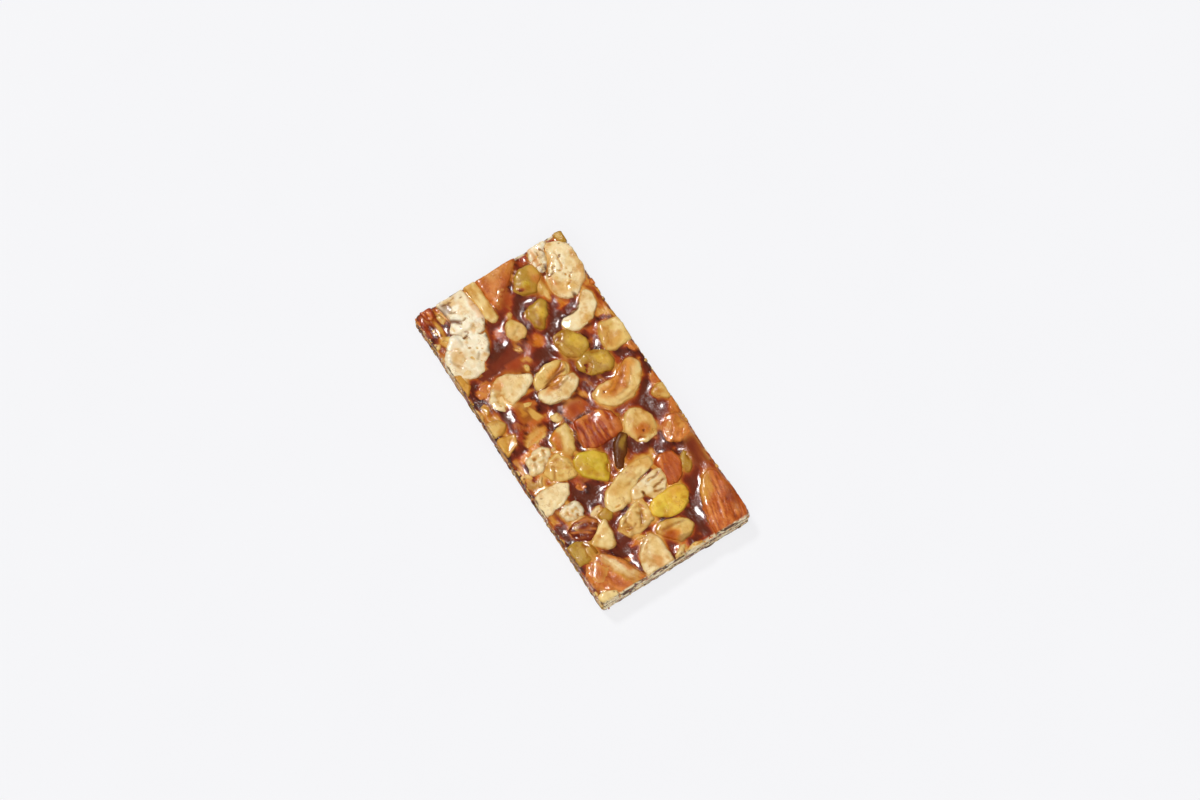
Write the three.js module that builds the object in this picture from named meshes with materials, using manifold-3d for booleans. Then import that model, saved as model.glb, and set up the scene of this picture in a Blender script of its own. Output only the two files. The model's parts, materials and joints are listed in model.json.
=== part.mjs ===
// A bar of nut brittle: broken cashews, almonds, pistachios and a little walnut set in boiled-sugar
// caramel, rolled flat while hot and cut to a rectangle with a knife.
//
// Units are millimetres and +Z is up. The origin is the middle of the flat underside, +X runs along
// the bar and +Y across it. Every nut is a solid of its own, seated in a pocket of the caramel slab.

import * as THREE from 'three';
import { mergeVertices } from 'three/addons/utils/BufferGeometryUtils.js';
import Module from 'manifold-3d';

const wasm = await Module();
wasm.setup();

// ---------------------------------------------------------------- driving dimensions

const LENGTH = 116;
const WIDTH = 57;
const THICKNESS = 11; // underside to the top of the proudest nuts
const CARAMEL_LEVEL = 9.6; // underside to the caramel's surface between the nuts
const GAP = 0.3; // clearance between a nut and the pocket or nut beside it

const EDGE_STEPS = 9; // straight runs along a long cut edge
const END_STEPS = 5; // straight runs along a short cut edge
const EDGE_DRIFT = 0.5; // how far the knife wandered off the straight line
const CORNER_CHAMFER = 0.8;
const SAME_POINT = 1e-4; // corners closer than this are one corner

// How high a nut's top stands. A sunk nut lies under a film of caramel.
const PROUD = THICKNESS;
const RAISED = 10.6;
const FLUSH = 10.2;
const SUNK = 9;
const DEEP = 8.7;

// How far down a nut reaches from its top. THROUGH reaches past the underside and is cut flat there.
const SHALLOW = 5.4;
const MEDIUM = 7;
const TALL = 8.8;
const THROUGH = 13;

const LEAN = 0.035; // slope of a broken nut's top face, rise over run
const BROKEN_BREADTH = [0.72, 1.06, 1]; // breadth of a broken nut at its bottom, waist and top
const PLUMPNESS = 0.75; // below 1, a whole nut is fuller than a ball towards its top and bottom
const ALMOND_POINT = 0.3; // how slowly an almond narrows before its point
const ROUND_SIDES = 12; // straight runs round a whole nut
const ROUND_RINGS = 8; // and along it

// ---------------------------------------------------------------- nuts with a shape of their own
// Each has a centre [x, y], a turn in degrees, a length along its own axis, a width and a top level.

const CASHEWS = [
  { name: 'cashew_crescent', at: [-28.4, 19.6], turn: 117, length: 18.6, width: 7, bend: 6.4, top: PROUD },
  { name: 'cashew_large', at: [-0.4, 16.6], turn: 105, length: 22, width: 10, bend: 7.2, top: PROUD },
  { name: 'cashew_ring_left', at: [-17.9, -1.1], turn: -88, length: 15.4, width: 6.2, bend: 6.4, top: RAISED },
  { name: 'cashew_ring_right', at: [-9.8, -1.2], turn: 92, length: 15.8, width: 6.8, bend: 6.6, top: PROUD },
];

const ALMONDS = [
  { name: 'almond_ridged', at: [49.5, 22.4], turn: 170, length: 30, width: 14, top: PROUD },
  { name: 'almond_under_glaze', at: [-27.4, -8.6], turn: -88, length: 23, width: 11, top: DEEP },
];

const SEEDS = [
  { name: 'pistachio_sliver', at: [31.8, 20.1], turn: -25, length: 8.4, width: 3.6, top: FLUSH },
];

// ---------------------------------------------------------------- broken and cut nuts
// Each is the outline of its top face, a top level and a height. Outlines past the edge are cut
// flush with the side of the bar.

const BROKEN = [
  // cashews at the corner and along the far edge
  ['cashew_corner_half', RAISED, TALL, [[-55.8, 21.2], [-55.2, 24.6], [-52.4, 27.4], [-48.6, 28.4],
    [-43.6, 28], [-39.4, 25.6], [-36.6, 21.8], [-36.2, 18.2], [-38.2, 15.8], [-42, 15.5],
    [-46.2, 15.8], [-48.2, 18.2], [-50.8, 20]]],
  ['cashew_corner_end', FLUSH, TALL, [[-60, 21.8], [-56.4, 21.4], [-55.9, 19.8], [-51, 18.6],
    [-49, 17], [-48.8, 14.9], [-53.2, 14.2], [-55.6, 15], [-60, 16.6]]],
  ['cashew_far_edge', PROUD, TALL, [[-21.2, 30], [-14.8, 30], [-13.2, 25.6], [-13, 21.6], [-14.8, 19],
    [-18.4, 19.6], [-23, 21.6], [-22.4, 25]]],
  ['cashew_glazed_edge', SUNK, MEDIUM, [[-29.4, 30], [-23.2, 30], [-23.4, 25], [-24.6, 22.4], [-27, 23.4]]],
  ['cashew_far_amber', SUNK, MEDIUM, [[-0.6, 30], [4.2, 30], [4.4, 26], [2.4, 24.8], [0.4, 25.6]]],
  ['cashew_far_nib', FLUSH, MEDIUM, [[5, 30], [10, 30], [9.6, 26.4], [8.2, 24], [6.2, 24], [5, 26]]],
  ['cashew_round', RAISED, THROUGH, [[7.1, 13.6], [8.6, 17], [12, 18.8], [15.6, 18.6], [18.4, 16.8],
    [18.9, 13.6], [17.2, 10.9], [13.6, 9.7], [10, 10.4]]],
  ['almond_glossy', FLUSH, MEDIUM, [[15.7, 23.6], [17.4, 25.8], [20.6, 27], [24.2, 26.6], [24.6, 22.4],
    [22.6, 19], [19, 19.8]]],

  // cashews and walnut in the middle of the right half
  ['cashew_long_half', RAISED, THROUGH, [[23.2, 6.4], [24.4, 10.4], [27.4, 10], [28.2, 5], [29.8, 1],
    [33, -2.4], [34, -6], [33, -9.4], [30.4, -9.8], [27.2, -7.2], [24.9, -2]]],
  ['cashew_cleft', PROUD, TALL, [[28.8, 8], [29.6, 11.2], [33, 11.2], [36.2, 9.4], [36.4, 4.6], [34, 3.4],
    [34.4, 0.6], [33, -1.2], [31, 0.2], [29.4, 4.2]]],
  ['walnut_knob', RAISED, TALL, [[34.6, 0.4], [38, 1], [42, 0.4], [44, -3], [43, -8], [39.6, -10],
    [37, -7.4], [35.8, -4]]],
  ['cashew_amber', FLUSH, TALL, [[44.9, 1.4], [46, 6.2], [48.2, 10], [51, 10.4], [53, 8.2], [53, 4],
    [50, 1.4], [46.6, -0.6]]],
  ['cashew_end_face', PROUD, MEDIUM, [[46.2, -3], [48.8, -1.4], [53, -1.6], [60, -1], [60, -9.6],
    [55, -10.4], [51, -9.6], [48, -7.2]]],
  ['cashew_end_strip', FLUSH, TALL, [[56.6, 8], [58.4, 11.6], [60, 11.8], [60, 0.6], [58.2, 1]]],
  ['cashew_point', RAISED, MEDIUM, [[34.3, -12.9], [39, -13.1], [42.9, -14.6], [42.3, -17], [39, -20.5],
    [37, -17.8]]],

  // cashews along the near edge
  ['cashew_near_corner', RAISED, TALL, [[54.8, -25], [56, -22.6], [60, -21.4], [60, -31], [56, -31]]],
  ['cashew_near_slab', RAISED, TALL, [[16.3, -19], [17.6, -16.8], [20.6, -18.4], [22.2, -21], [23, -25],
    [22.8, -31], [17, -31], [16.2, -24]]],
  ['walnut_crumbly', RAISED, TALL, [[7.2, -14.2], [11, -12.4], [16.6, -12], [16.2, -15.2], [14.3, -19.6],
    [11, -21], [9, -18.2]]],
  ['walnut_flake', FLUSH, SHALLOW, [[2.6, -17], [5, -15.8], [7.8, -17.8], [9.4, -21], [8.6, -24.2],
    [4.4, -22.8]]],
  ['walnut_knot', FLUSH, SHALLOW, [[23.6, -19.4], [25.4, -16.9], [28.4, -16.7], [29, -19.2], [28, -22.8],
    [25.2, -23.6]]],
  ['cashew_dipped', RAISED, MEDIUM, [[0.2, -6], [4, -6.3], [8.6, -8.5], [9.7, -10.6], [6, -12.8],
    [1.8, -13.2], [0.5, -9.4]]],
  ['cashew_wedge', RAISED, THROUGH, [[-19.8, -7.2], [-18.2, -7.4], [-16.2, -11.4], [-15, -16],
    [-14.6, -20.8], [-17, -22.4], [-19.6, -22.2], [-22.6, -19.6], [-25, -16.8], [-23.4, -12.4]]],
  ['cashew_glazed_nib', SUNK, THROUGH, [[-25.4, -20], [-23, -19], [-21.4, -22.4], [-21.6, -25],
    [-25, -25.2]]],
  ['cashew_gold_nib', FLUSH, MEDIUM, [[-13.8, -31], [-12.6, -24.6], [-10.4, -22.8], [-8.5, -24.8],
    [-8, -31]]],
  ['cashew_glint_nib', FLUSH, SHALLOW, [[-6.6, -27], [-5.6, -22.6], [-2.4, -23.6], [-0.8, -27.6],
    [-1, -31], [-6, -31]]],
  ['cashew_striped', SUNK, THROUGH, [[-4.4, -14.8], [-2.4, -12], [-0.4, -13.8], [0.6, -20.8],
    [-1.8, -21.2], [-3.2, -19]]],
  ['cashew_clouded', DEEP, THROUGH, [[-13.4, -11], [-11, -9.9], [-6.6, -12.2], [-5.8, -16.8],
    [-9, -18.2], [-13, -17]]],
  ['cashew_near_edge', FLUSH, TALL, [[-34, -31], [-32, -26.4], [-27.6, -25.6], [-25.6, -27.4],
    [-25.4, -31]]],
  ['cashew_glazed_bit', SUNK, THROUGH, [[20.3, 12], [22.4, 14], [24.4, 11.8], [22.4, 6.4], [20.9, 7.2]]],

  // cashews on the left
  ['cashew_pale_bit', RAISED, MEDIUM, [[-39, -2.6], [-37, -0.6], [-34.4, 0.3], [-32.6, -1.6],
    [-33.6, -4.5], [-36, -5.6], [-38.6, -4.7]]],
  ['cashew_sliver', FLUSH, SHALLOW, [[-60, -5.6], [-50, -5.3], [-43, -5.4], [-42.2, -7.3], [-45, -8.6],
    [-52, -8.5], [-60, -9.2]]],
  ['cashew_broad_left', RAISED, TALL, [[-60, -11.2], [-54, -10.4], [-46, -9.6], [-41.8, -11.2],
    [-41.6, -15], [-46.4, -21], [-50, -18.6], [-54, -19], [-60, -20.4]]],
  ['cashew_broad_right', PROUD, TALL, [[-40.4, -11.8], [-37.6, -13], [-33.8, -14.4], [-32.8, -17.6],
    [-30, -19.2], [-29.4, -21.6], [-30.4, -25], [-33, -31], [-37.5, -28], [-43, -24], [-45, -22]]],

  // almonds with their skin on
  ['almond_end_third', RAISED, MEDIUM, [[-60, 9.2], [-57, 9.4], [-52.6, 5.4], [-48.2, 0], [-45.4, -3.6],
    [-50, -4.3], [-60, -4.8]]],
  ['almond_cut', RAISED, THROUGH, [[1.6, 4.6], [4.2, 8.2], [7.5, 9.2], [11.6, 8.4], [12.2, 4.4],
    [11.8, -1.4], [9.8, -5], [6, -4.2], [1.6, -3]]],
  ['almond_smooth', SUNK, THROUGH, [[-5.6, 2.8], [-1.6, 3.6], [0.6, 2], [0.6, -3.6], [-2.4, -4.4],
    [-5.6, -3.4]]],
  ['almond_red', FLUSH, TALL, [[25.4, 14.4], [26.6, 18], [30.2, 18.8], [34.8, 16.6], [35.6, 14.4],
    [35.4, 11.6], [32.5, 12], [29, 12], [27, 11.2]]],
  ['almond_edge_glazed', SUNK, MEDIUM, [[25.4, 23], [25.6, 30], [36, 30], [36.2, 25.6], [34.4, 23.2],
    [30, 22.4]]],
  ['almond_slice', RAISED, TALL, [[60, -11], [51, -14.4], [45.5, -17.8], [43, -21.4], [44.2, -25.4],
    [47.2, -27.4], [52, -26.8], [54.8, -24], [60, -19.8]]],
  ['almond_dark', FLUSH, MEDIUM, [[29.9, -21.6], [30.6, -17.6], [33, -15.2], [35.4, -16.8],
    [37, -20], [34.8, -23.2], [31.2, -24.2]]],

  ['almond_corner_bit', FLUSH, SHALLOW, [[-60, -22.4], [-54.6, -22.8], [-54, -25.4], [-60, -26.4]]],

  // pistachios
  ['pistachio_left', FLUSH, TALL, [[-52.6, 12.8], [-50, 14], [-47.4, 13.8], [-44.2, 10], [-45, 6.2],
    [-47.6, 4.2], [-50.6, 6.6], [-52.8, 9.6]]],
  ['pistachio_clear', RAISED, THROUGH, [[-40.2, 9.6], [-38.6, 10.8], [-35, 8.5], [-31.6, 4.9], [-33, 3.7],
    [-39.4, 2.9], [-40.4, 5.4]]],
  ['pistachio_large', RAISED, TALL, [[-27.4, 9.6], [-25, 12.8], [-21.2, 15.2], [-18.6, 14.8],
    [-17.3, 12], [-17.4, 8.6], [-19.5, 6.6], [-24, 5.8], [-26.8, 7.3]]],
  ['pistachio_pair', RAISED, TALL, [[-16.2, 15.5], [-13.6, 18.9], [-10, 18.6], [-8.2, 16.6],
    [-8.3, 13.4], [-9.6, 10.8], [-12.6, 8.2], [-16.2, 8.4], [-16.9, 11.5]]],
  ['pistachio_green', PROUD, TALL, [[11.1, -8.6], [12.7, -3.4], [15.6, -0.4], [20, -1.8], [23.6, -4.8],
    [21, -7.4], [18, -10.4], [15, -11.4], [12, -10.4]]],
  ['pistachio_dark', FLUSH, TALL, [[12.6, 7.2], [14, 8.6], [18, 5.6], [23, 1.6], [22.2, 0.4], [18, 1.8],
    [14.4, 4.2]]],
  ['pistachio_gold', PROUD, THROUGH, [[36.6, 12.5], [38, 15], [41, 15], [43.4, 13], [44.7, 10.4],
    [44.3, 6.5], [42.8, 3], [41, 1.5], [38.8, 1.7], [37.3, 4], [37, 8]]],
  ['pistachio_near_edge', FLUSH, MEDIUM, [[35.8, -24.4], [38, -21.8], [42, -20.8], [43, -23], [43, -31],
    [35.8, -31]]],
  ['pistachio_corner', FLUSH, MEDIUM, [[-60, 25.4], [-60, 30], [-54.2, 30], [-53.8, 26.8], [-55.6, 25.8]]],
  ['pistachio_nib', FLUSH, MEDIUM, [[31.2, -10.8], [33.6, -9.6], [35, -11], [33.6, -13.6], [32, -13.2]]],
];

// ---------------------------------------------------------------- colours

const FINISH = {
  caramel: { color: 0x7a2f14, roughness: 0.12 },
  cashew: { color: 0xe6cd96, roughness: 0.4 },
  almond: { color: 0xb0592f, roughness: 0.35 },
  pistachio: { color: 0xbd9b45, roughness: 0.35 },
  walnut: { color: 0xe0bd80, roughness: 0.5 },
};

const finishOf = (kind) => new THREE.MeshStandardMaterial({ ...FINISH[kind], metalness: 0 });

// ---------------------------------------------------------------- solids and geometries

// A closed geometry as a solid that can be cut and joined.
function solidOf(geometry) {
  geometry.deleteAttribute('normal');
  geometry.deleteAttribute('uv');
  const merged = mergeVertices(geometry, SAME_POINT);
  return new wasm.Manifold(new wasm.Mesh({
    numProp: 3,
    vertProperties: new Float32Array(merged.attributes.position.array),
    triVerts: new Uint32Array(merged.index.array),
  }));
}

function geometryOf(solid) {
  const { vertProperties, triVerts } = solid.getMesh();
  const geometry = new THREE.BufferGeometry();
  geometry.setAttribute('position', new THREE.BufferAttribute(vertProperties, 3));
  geometry.setIndex(new THREE.BufferAttribute(triVerts, 1));
  geometry.computeVertexNormals();
  return geometry;
}

// Moves every vertex of a geometry to where place(point) puts it.
function reshape(geometry, place) {
  const positions = geometry.attributes.position;
  const point = new THREE.Vector3();
  for (let i = 0; i < positions.count; i += 1) {
    place(point.fromBufferAttribute(positions, i));
    positions.setXYZ(i, point.x, point.y, point.z);
  }
  return geometry;
}

// ---------------------------------------------------------------- the bar's outline

// Distance of the cut edge inside the straight line, at step i of n. It is zero at both ends, so the
// bar keeps its full length and width.
function drift(i, n, phase) {
  const swing = Math.abs(Math.sin((2 * Math.PI * i) / n));
  return EDGE_DRIFT * swing * (0.6 + 0.4 * Math.sin(phase + 2.7 * i));
}

// One cut edge from corner a to corner b, drifting inwards, which is to the left of its direction.
function cutEdge(a, b, steps, phase) {
  const along = b.clone().sub(a);
  const inward = new THREE.Vector2(-along.y, along.x).normalize();
  const chamfer = along.clone().normalize().multiplyScalar(CORNER_CHAMFER);
  const start = a.clone().add(chamfer);
  const run = along.sub(chamfer).sub(chamfer);
  return Array.from({ length: steps + 1 }, (_, i) => start.clone()
    .addScaledVector(run, i / steps)
    .addScaledVector(inward, drift(i, steps, phase)));
}

function barOutline() {
  const [x, y] = [LENGTH / 2, WIDTH / 2];
  const corners = [[-x, -y], [x, -y], [x, y], [-x, y]].map(([u, v]) => new THREE.Vector2(u, v));
  return new THREE.Shape(corners.flatMap((corner, i) => {
    const steps = i % 2 === 0 ? EDGE_STEPS : END_STEPS;
    return cutEdge(corner, corners[(i + 1) % 4], steps, i);
  }));
}

const barTo = (height) => solidOf(new THREE.ExtrudeGeometry(barOutline(), {
  depth: height,
  bevelEnabled: false,
}));

// ---------------------------------------------------------------- nut shapes
// Each returns a function of the clearance, so that one shape gives the nut and its wider pocket.

// A ball with its poles on X, fuller towards its top and bottom, stretched to the half sizes given.
// place changes each of its points first, on the plain ball of radius 1.
function stretchedBall(halves, place = () => {}) {
  const ball = new THREE.SphereGeometry(1, ROUND_SIDES, ROUND_RINGS).rotateZ(-Math.PI / 2);
  return reshape(ball, (p) => {
    const reach = Math.hypot(p.y, p.z) || 1;
    p.z = Math.sign(p.z) * reach * (Math.abs(p.z) / reach) ** PLUMPNESS;
    place(p);
    p.multiply(halves);
  });
}

const halvesOf = (nut, height, clearance) => new THREE.Vector3(nut.length, nut.width, height)
  .multiplyScalar(0.5)
  .addScalar(clearance);

// Turns a nut about Z and sets its middle at its place, with its top at its level.
function seat(geometry, nut, height) {
  geometry.rotateZ(THREE.MathUtils.degToRad(nut.turn));
  return geometry.translate(nut.at[0], nut.at[1], nut.top - height / 2);
}

// A cashew: a blunt-ended bean bent round a centre of curvature on its +Y side.
function cashew(nut) {
  const height = TALL;
  return (clearance) => {
    const bean = stretchedBall(halvesOf(nut, height, clearance), (p) => {
      const blunt = Math.sqrt(1 + p.x * p.x);
      p.y *= blunt;
      p.z *= blunt;
    });
    reshape(bean, (p) => {
      const angle = p.x / nut.bend;
      const reach = nut.bend - p.y;
      p.x = reach * Math.sin(angle);
      p.y = nut.bend - reach * Math.cos(angle);
    });
    return seat(bean, nut, height);
  };
}

// An almond: round at its -X end and drawn out to a point at its +X end.
function almond(nut) {
  const height = nut.top === DEEP ? THROUGH : TALL;
  return (clearance) => {
    const drop = stretchedBall(halvesOf(nut, height, clearance), (p) => {
      const taper = Math.max(0, 1 - p.x) ** ALMOND_POINT;
      p.y *= taper;
      p.z *= taper;
    });
    return seat(drop, nut, height);
  };
}

// A small seed: a plain stretched ball.
const seed = (nut) => (clearance) => seat(stretchedBall(halvesOf(nut, nut.width, clearance)), nut, nut.width);

// An outline moved outwards by a distance, each corner along its bisector.
function widened(corners, distance) {
  const side = THREE.ShapeUtils.isClockWise(corners) ? -1 : 1;
  const outward = corners.map((p, i) => {
    const edge = corners[(i + 1) % corners.length].clone().sub(p).normalize();
    return new THREE.Vector2(edge.y, -edge.x).multiplyScalar(side);
  });
  return corners.map((p, i) => {
    const [before, after] = [outward.at(i - 1), outward[i]];
    return p.clone().addScaledVector(before.clone().add(after), distance / (1 + before.dot(after)));
  });
}

// A broken nut: an outline drawn up through its height, waisted out in the middle and drawn in
// below, with a top face that leans a little.
function broken([, top, height, outline]) {
  const corners = outline.map(([x, y]) => new THREE.Vector2(x, y));
  const middle = new THREE.Box2().setFromPoints(corners).getCenter(new THREE.Vector2());
  const lean = new THREE.Vector2(LEAN, 0).rotateAround(new THREE.Vector2(), middle.x + middle.y);
  const highest = Math.max(...corners.map((p) => p.clone().sub(middle).dot(lean)));
  const levels = BROKEN_BREADTH.length - 1;
  return (clearance) => {
    const block = new THREE.ExtrudeGeometry(new THREE.Shape(widened(corners, clearance)), {
      depth: 1,
      steps: levels,
      bevelEnabled: false,
    });
    return reshape(block, (p) => {
      const offset = new THREE.Vector2(p.x, p.y).sub(middle);
      const level = Math.round(p.z * levels);
      offset.multiplyScalar(BROKEN_BREADTH[level]);
      const rise = level === levels ? offset.dot(lean) - highest : 0;
      const z = top - height - clearance + p.z * (height + 2 * clearance) + rise;
      p.set(middle.x + offset.x, middle.y + offset.y, z);
    });
  };
}

// ---------------------------------------------------------------- the bar

const kindOf = (name) => name.split('_')[0];

function named(name, solid) {
  const mesh = new THREE.Mesh(geometryOf(solid), finishOf(kindOf(name)));
  mesh.name = name;
  return mesh;
}

function build() {
  const shapes = [
    ...CASHEWS.map((nut) => [nut.name, cashew(nut)]),
    ...ALMONDS.map((nut) => [nut.name, almond(nut)]),
    ...SEEDS.map((nut) => [nut.name, seed(nut)]),
    ...BROKEN.map((row) => [row[0], broken(row)]),
  ];
  const bar = barTo(THICKNESS);
  const brittle = new THREE.Group();
  const pockets = [];
  let caramel = barTo(CARAMEL_LEVEL);
  for (const [name, shape] of shapes) {
    // A nut is cut flush with the bar, and gives way to the nuts that were set before it.
    const nut = pockets.reduce((rest, pocket) => rest.subtract(pocket), solidOf(shape(0)).intersect(bar));
    const pocket = solidOf(shape(GAP));
    pockets.push(pocket);
    caramel = caramel.subtract(pocket);
    brittle.add(named(name, nut));
  }
  brittle.add(named('caramel', caramel));
  return brittle;
}

export default build();
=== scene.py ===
import json
import math
from itertools import product

import bpy
import numpy as np
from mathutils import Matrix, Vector
from mathutils.bvhtree import BVHTree
from mathutils.kdtree import KDTree

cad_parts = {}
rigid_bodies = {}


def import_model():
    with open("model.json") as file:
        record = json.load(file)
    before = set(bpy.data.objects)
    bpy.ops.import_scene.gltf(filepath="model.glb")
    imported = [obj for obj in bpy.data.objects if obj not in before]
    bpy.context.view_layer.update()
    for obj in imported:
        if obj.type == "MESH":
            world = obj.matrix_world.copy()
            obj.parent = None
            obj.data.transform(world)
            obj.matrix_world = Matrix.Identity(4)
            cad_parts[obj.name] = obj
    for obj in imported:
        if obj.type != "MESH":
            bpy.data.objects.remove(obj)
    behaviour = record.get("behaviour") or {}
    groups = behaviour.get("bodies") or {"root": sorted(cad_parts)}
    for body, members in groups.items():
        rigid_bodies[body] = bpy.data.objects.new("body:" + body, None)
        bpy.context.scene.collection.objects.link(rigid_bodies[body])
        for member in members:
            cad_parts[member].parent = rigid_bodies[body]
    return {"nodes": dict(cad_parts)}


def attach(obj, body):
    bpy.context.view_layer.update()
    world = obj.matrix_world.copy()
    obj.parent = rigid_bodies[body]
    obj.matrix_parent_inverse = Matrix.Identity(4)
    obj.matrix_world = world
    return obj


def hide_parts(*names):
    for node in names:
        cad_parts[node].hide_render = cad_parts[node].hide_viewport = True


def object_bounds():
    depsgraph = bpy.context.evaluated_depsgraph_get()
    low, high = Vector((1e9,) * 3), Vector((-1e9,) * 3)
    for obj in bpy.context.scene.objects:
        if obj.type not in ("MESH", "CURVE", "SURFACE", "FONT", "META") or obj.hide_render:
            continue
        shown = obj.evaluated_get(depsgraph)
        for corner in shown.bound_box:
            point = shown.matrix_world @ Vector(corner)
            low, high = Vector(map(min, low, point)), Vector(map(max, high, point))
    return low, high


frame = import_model()
CAD_BOX = [list(corner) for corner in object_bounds()]

bl_info = {
    "name": "Nut Brittle Bar",
    "version": (1, 0, 0),
    "blender": (4, 5, 0),
    "location": "3D View > Sidebar > Brittle",
    "description": "A bar of nut brittle built round its CAD frame",
    "category": "Object",
}

# Lengths are millimetres until a mesh is written, and colours are linear once linear() has them.
MM = 0.001
BAR_LOW, BAR_HIGH = (np.array(corner) / MM for corner in CAD_BOX)
BAR_TOP = BAR_HIGH[2]
TOP_FROM = 7  # what is higher than this belongs to the bar's top

# ------------------------------------------------------------------ small tools


def linear(shade):
    """A colour picker's 0 to 255 values as linear light."""
    share = np.array(shade) / 255
    return np.where(share < 0.04045, share / 12.92, ((share + 0.055) / 1.055) ** 2.4)


def ease(value, low, high):
    """0 below low, 1 above high, and a smooth rise between."""
    share = np.clip((value - low) / (high - low), 0, 1)
    return share * share * (3 - 2 * share)


def heading(degrees):
    angle = math.radians(degrees)
    return np.array([math.cos(angle), math.sin(angle)])


def along_and_across(spots, turn):
    """How far each spot lies along a heading, and how far across it."""
    along = heading(turn)
    return spots @ along, spots @ np.array([-along[1], along[0]])


class Lumps:
    """Smooth seeded unevenness through space, from -1 to 1, with a lump about every size mm."""

    CELLS = 32

    def __init__(self, seed, size):
        self.size = size
        self.values = np.random.default_rng(seed).uniform(-1, 1, (self.CELLS,) * 3)

    def __call__(self, points):
        spot = points / self.size
        base = np.floor(spot).astype(int)
        share = spot - base
        share = share * share * (3 - 2 * share)
        total = np.zeros(len(points))
        for corner in product((0, 1), repeat=3):
            index = (base + corner) % self.CELLS
            weight = np.where(corner, share, 1 - share).prod(1)
            total += weight * self.values[index[:, 0], index[:, 1], index[:, 2]]
        return total


def with_lumps(base, points, *layers):
    """The base with layers of lumps added to it: each a height, a seed and a size."""
    return sum((height * Lumps(seed, size)(points) for height, seed, size in layers), base)


def sway(points, seed, size):
    """Unevenness in x and in y, one seed each."""
    return np.column_stack([Lumps(seed, size)(points), Lumps(seed + 1, size)(points)])


def table_of(items, name, width, kind=np.float32):
    """One value, or several, of every point, edge or corner of a mesh."""
    flat = np.empty(len(items) * width, kind)
    items.foreach_get(name, flat)
    return flat.reshape(-1, width)


def points_of(mesh):
    return table_of(mesh.vertices, "co", 3).astype(float) / MM


def normals_of(mesh):
    return table_of(mesh.vertices, "normal", 3).astype(float)


def put_points(mesh, points):
    mesh.vertices.foreach_set("co", (points * MM).astype(np.float32).ravel())
    mesh.update()


def edges_of(mesh):
    return table_of(mesh.edges, "vertices", 2, np.int32)


def faces_of(mesh):
    """The corners of every face of a mesh whose faces all have the same number."""
    return table_of(mesh.loops, "vertex_index", 1, np.int32).reshape(len(mesh.polygons), -1)


def put_number(mesh, name, values):
    layer = mesh.attributes.new(name, "FLOAT", "POINT")
    layer.data.foreach_set("value", values.astype(np.float32))


def put_colour(mesh, name, colours):
    layer = mesh.attributes.new(name, "FLOAT_COLOR", "POINT")
    whole = np.column_stack([colours, np.ones(len(colours))])
    layer.data.foreach_set("color", whole.astype(np.float32).ravel())


def number_of(mesh, name):
    return table_of(mesh.attributes[name].data, "value", 1)[:, 0]


def colour_of(mesh, name):
    return table_of(mesh.attributes[name].data, "color", 4)[:, :3].astype(float)


def blend(colours, share, target):
    """Draws every point's colour towards the target by its share."""
    colours += share[:, None] * (target - colours)


def relax(values, edges, steps, share=0.5):
    """Each value, or each point, drawn towards the mean of its neighbours."""
    a, b = edges[:, 0], edges[:, 1]
    count = np.maximum(np.bincount(edges.ravel(), minlength=len(values)), 1)
    table = values.reshape(len(values), -1).astype(float)
    for _ in range(steps):
        mean = np.empty_like(table)
        for k in range(table.shape[1]):
            column = table[:, k]
            total = np.bincount(a, column[b], len(column)) + np.bincount(b, column[a], len(column))
            mean[:, k] = total / count
        table = table + share * (mean - table)
    return table.reshape(values.shape)


def alone(piece):
    """Makes one object the only one selected, and the active one."""
    bpy.ops.object.select_all(action="DESELECT")
    piece.select_set(True)
    bpy.context.view_layer.objects.active = piece


def apply_all(piece):
    alone(piece)
    for name in [modifier.name for modifier in piece.modifiers]:
        bpy.ops.object.modifier_apply(modifier=name)


# ------------------------------------------------------------------ the bar's cut edge


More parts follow.
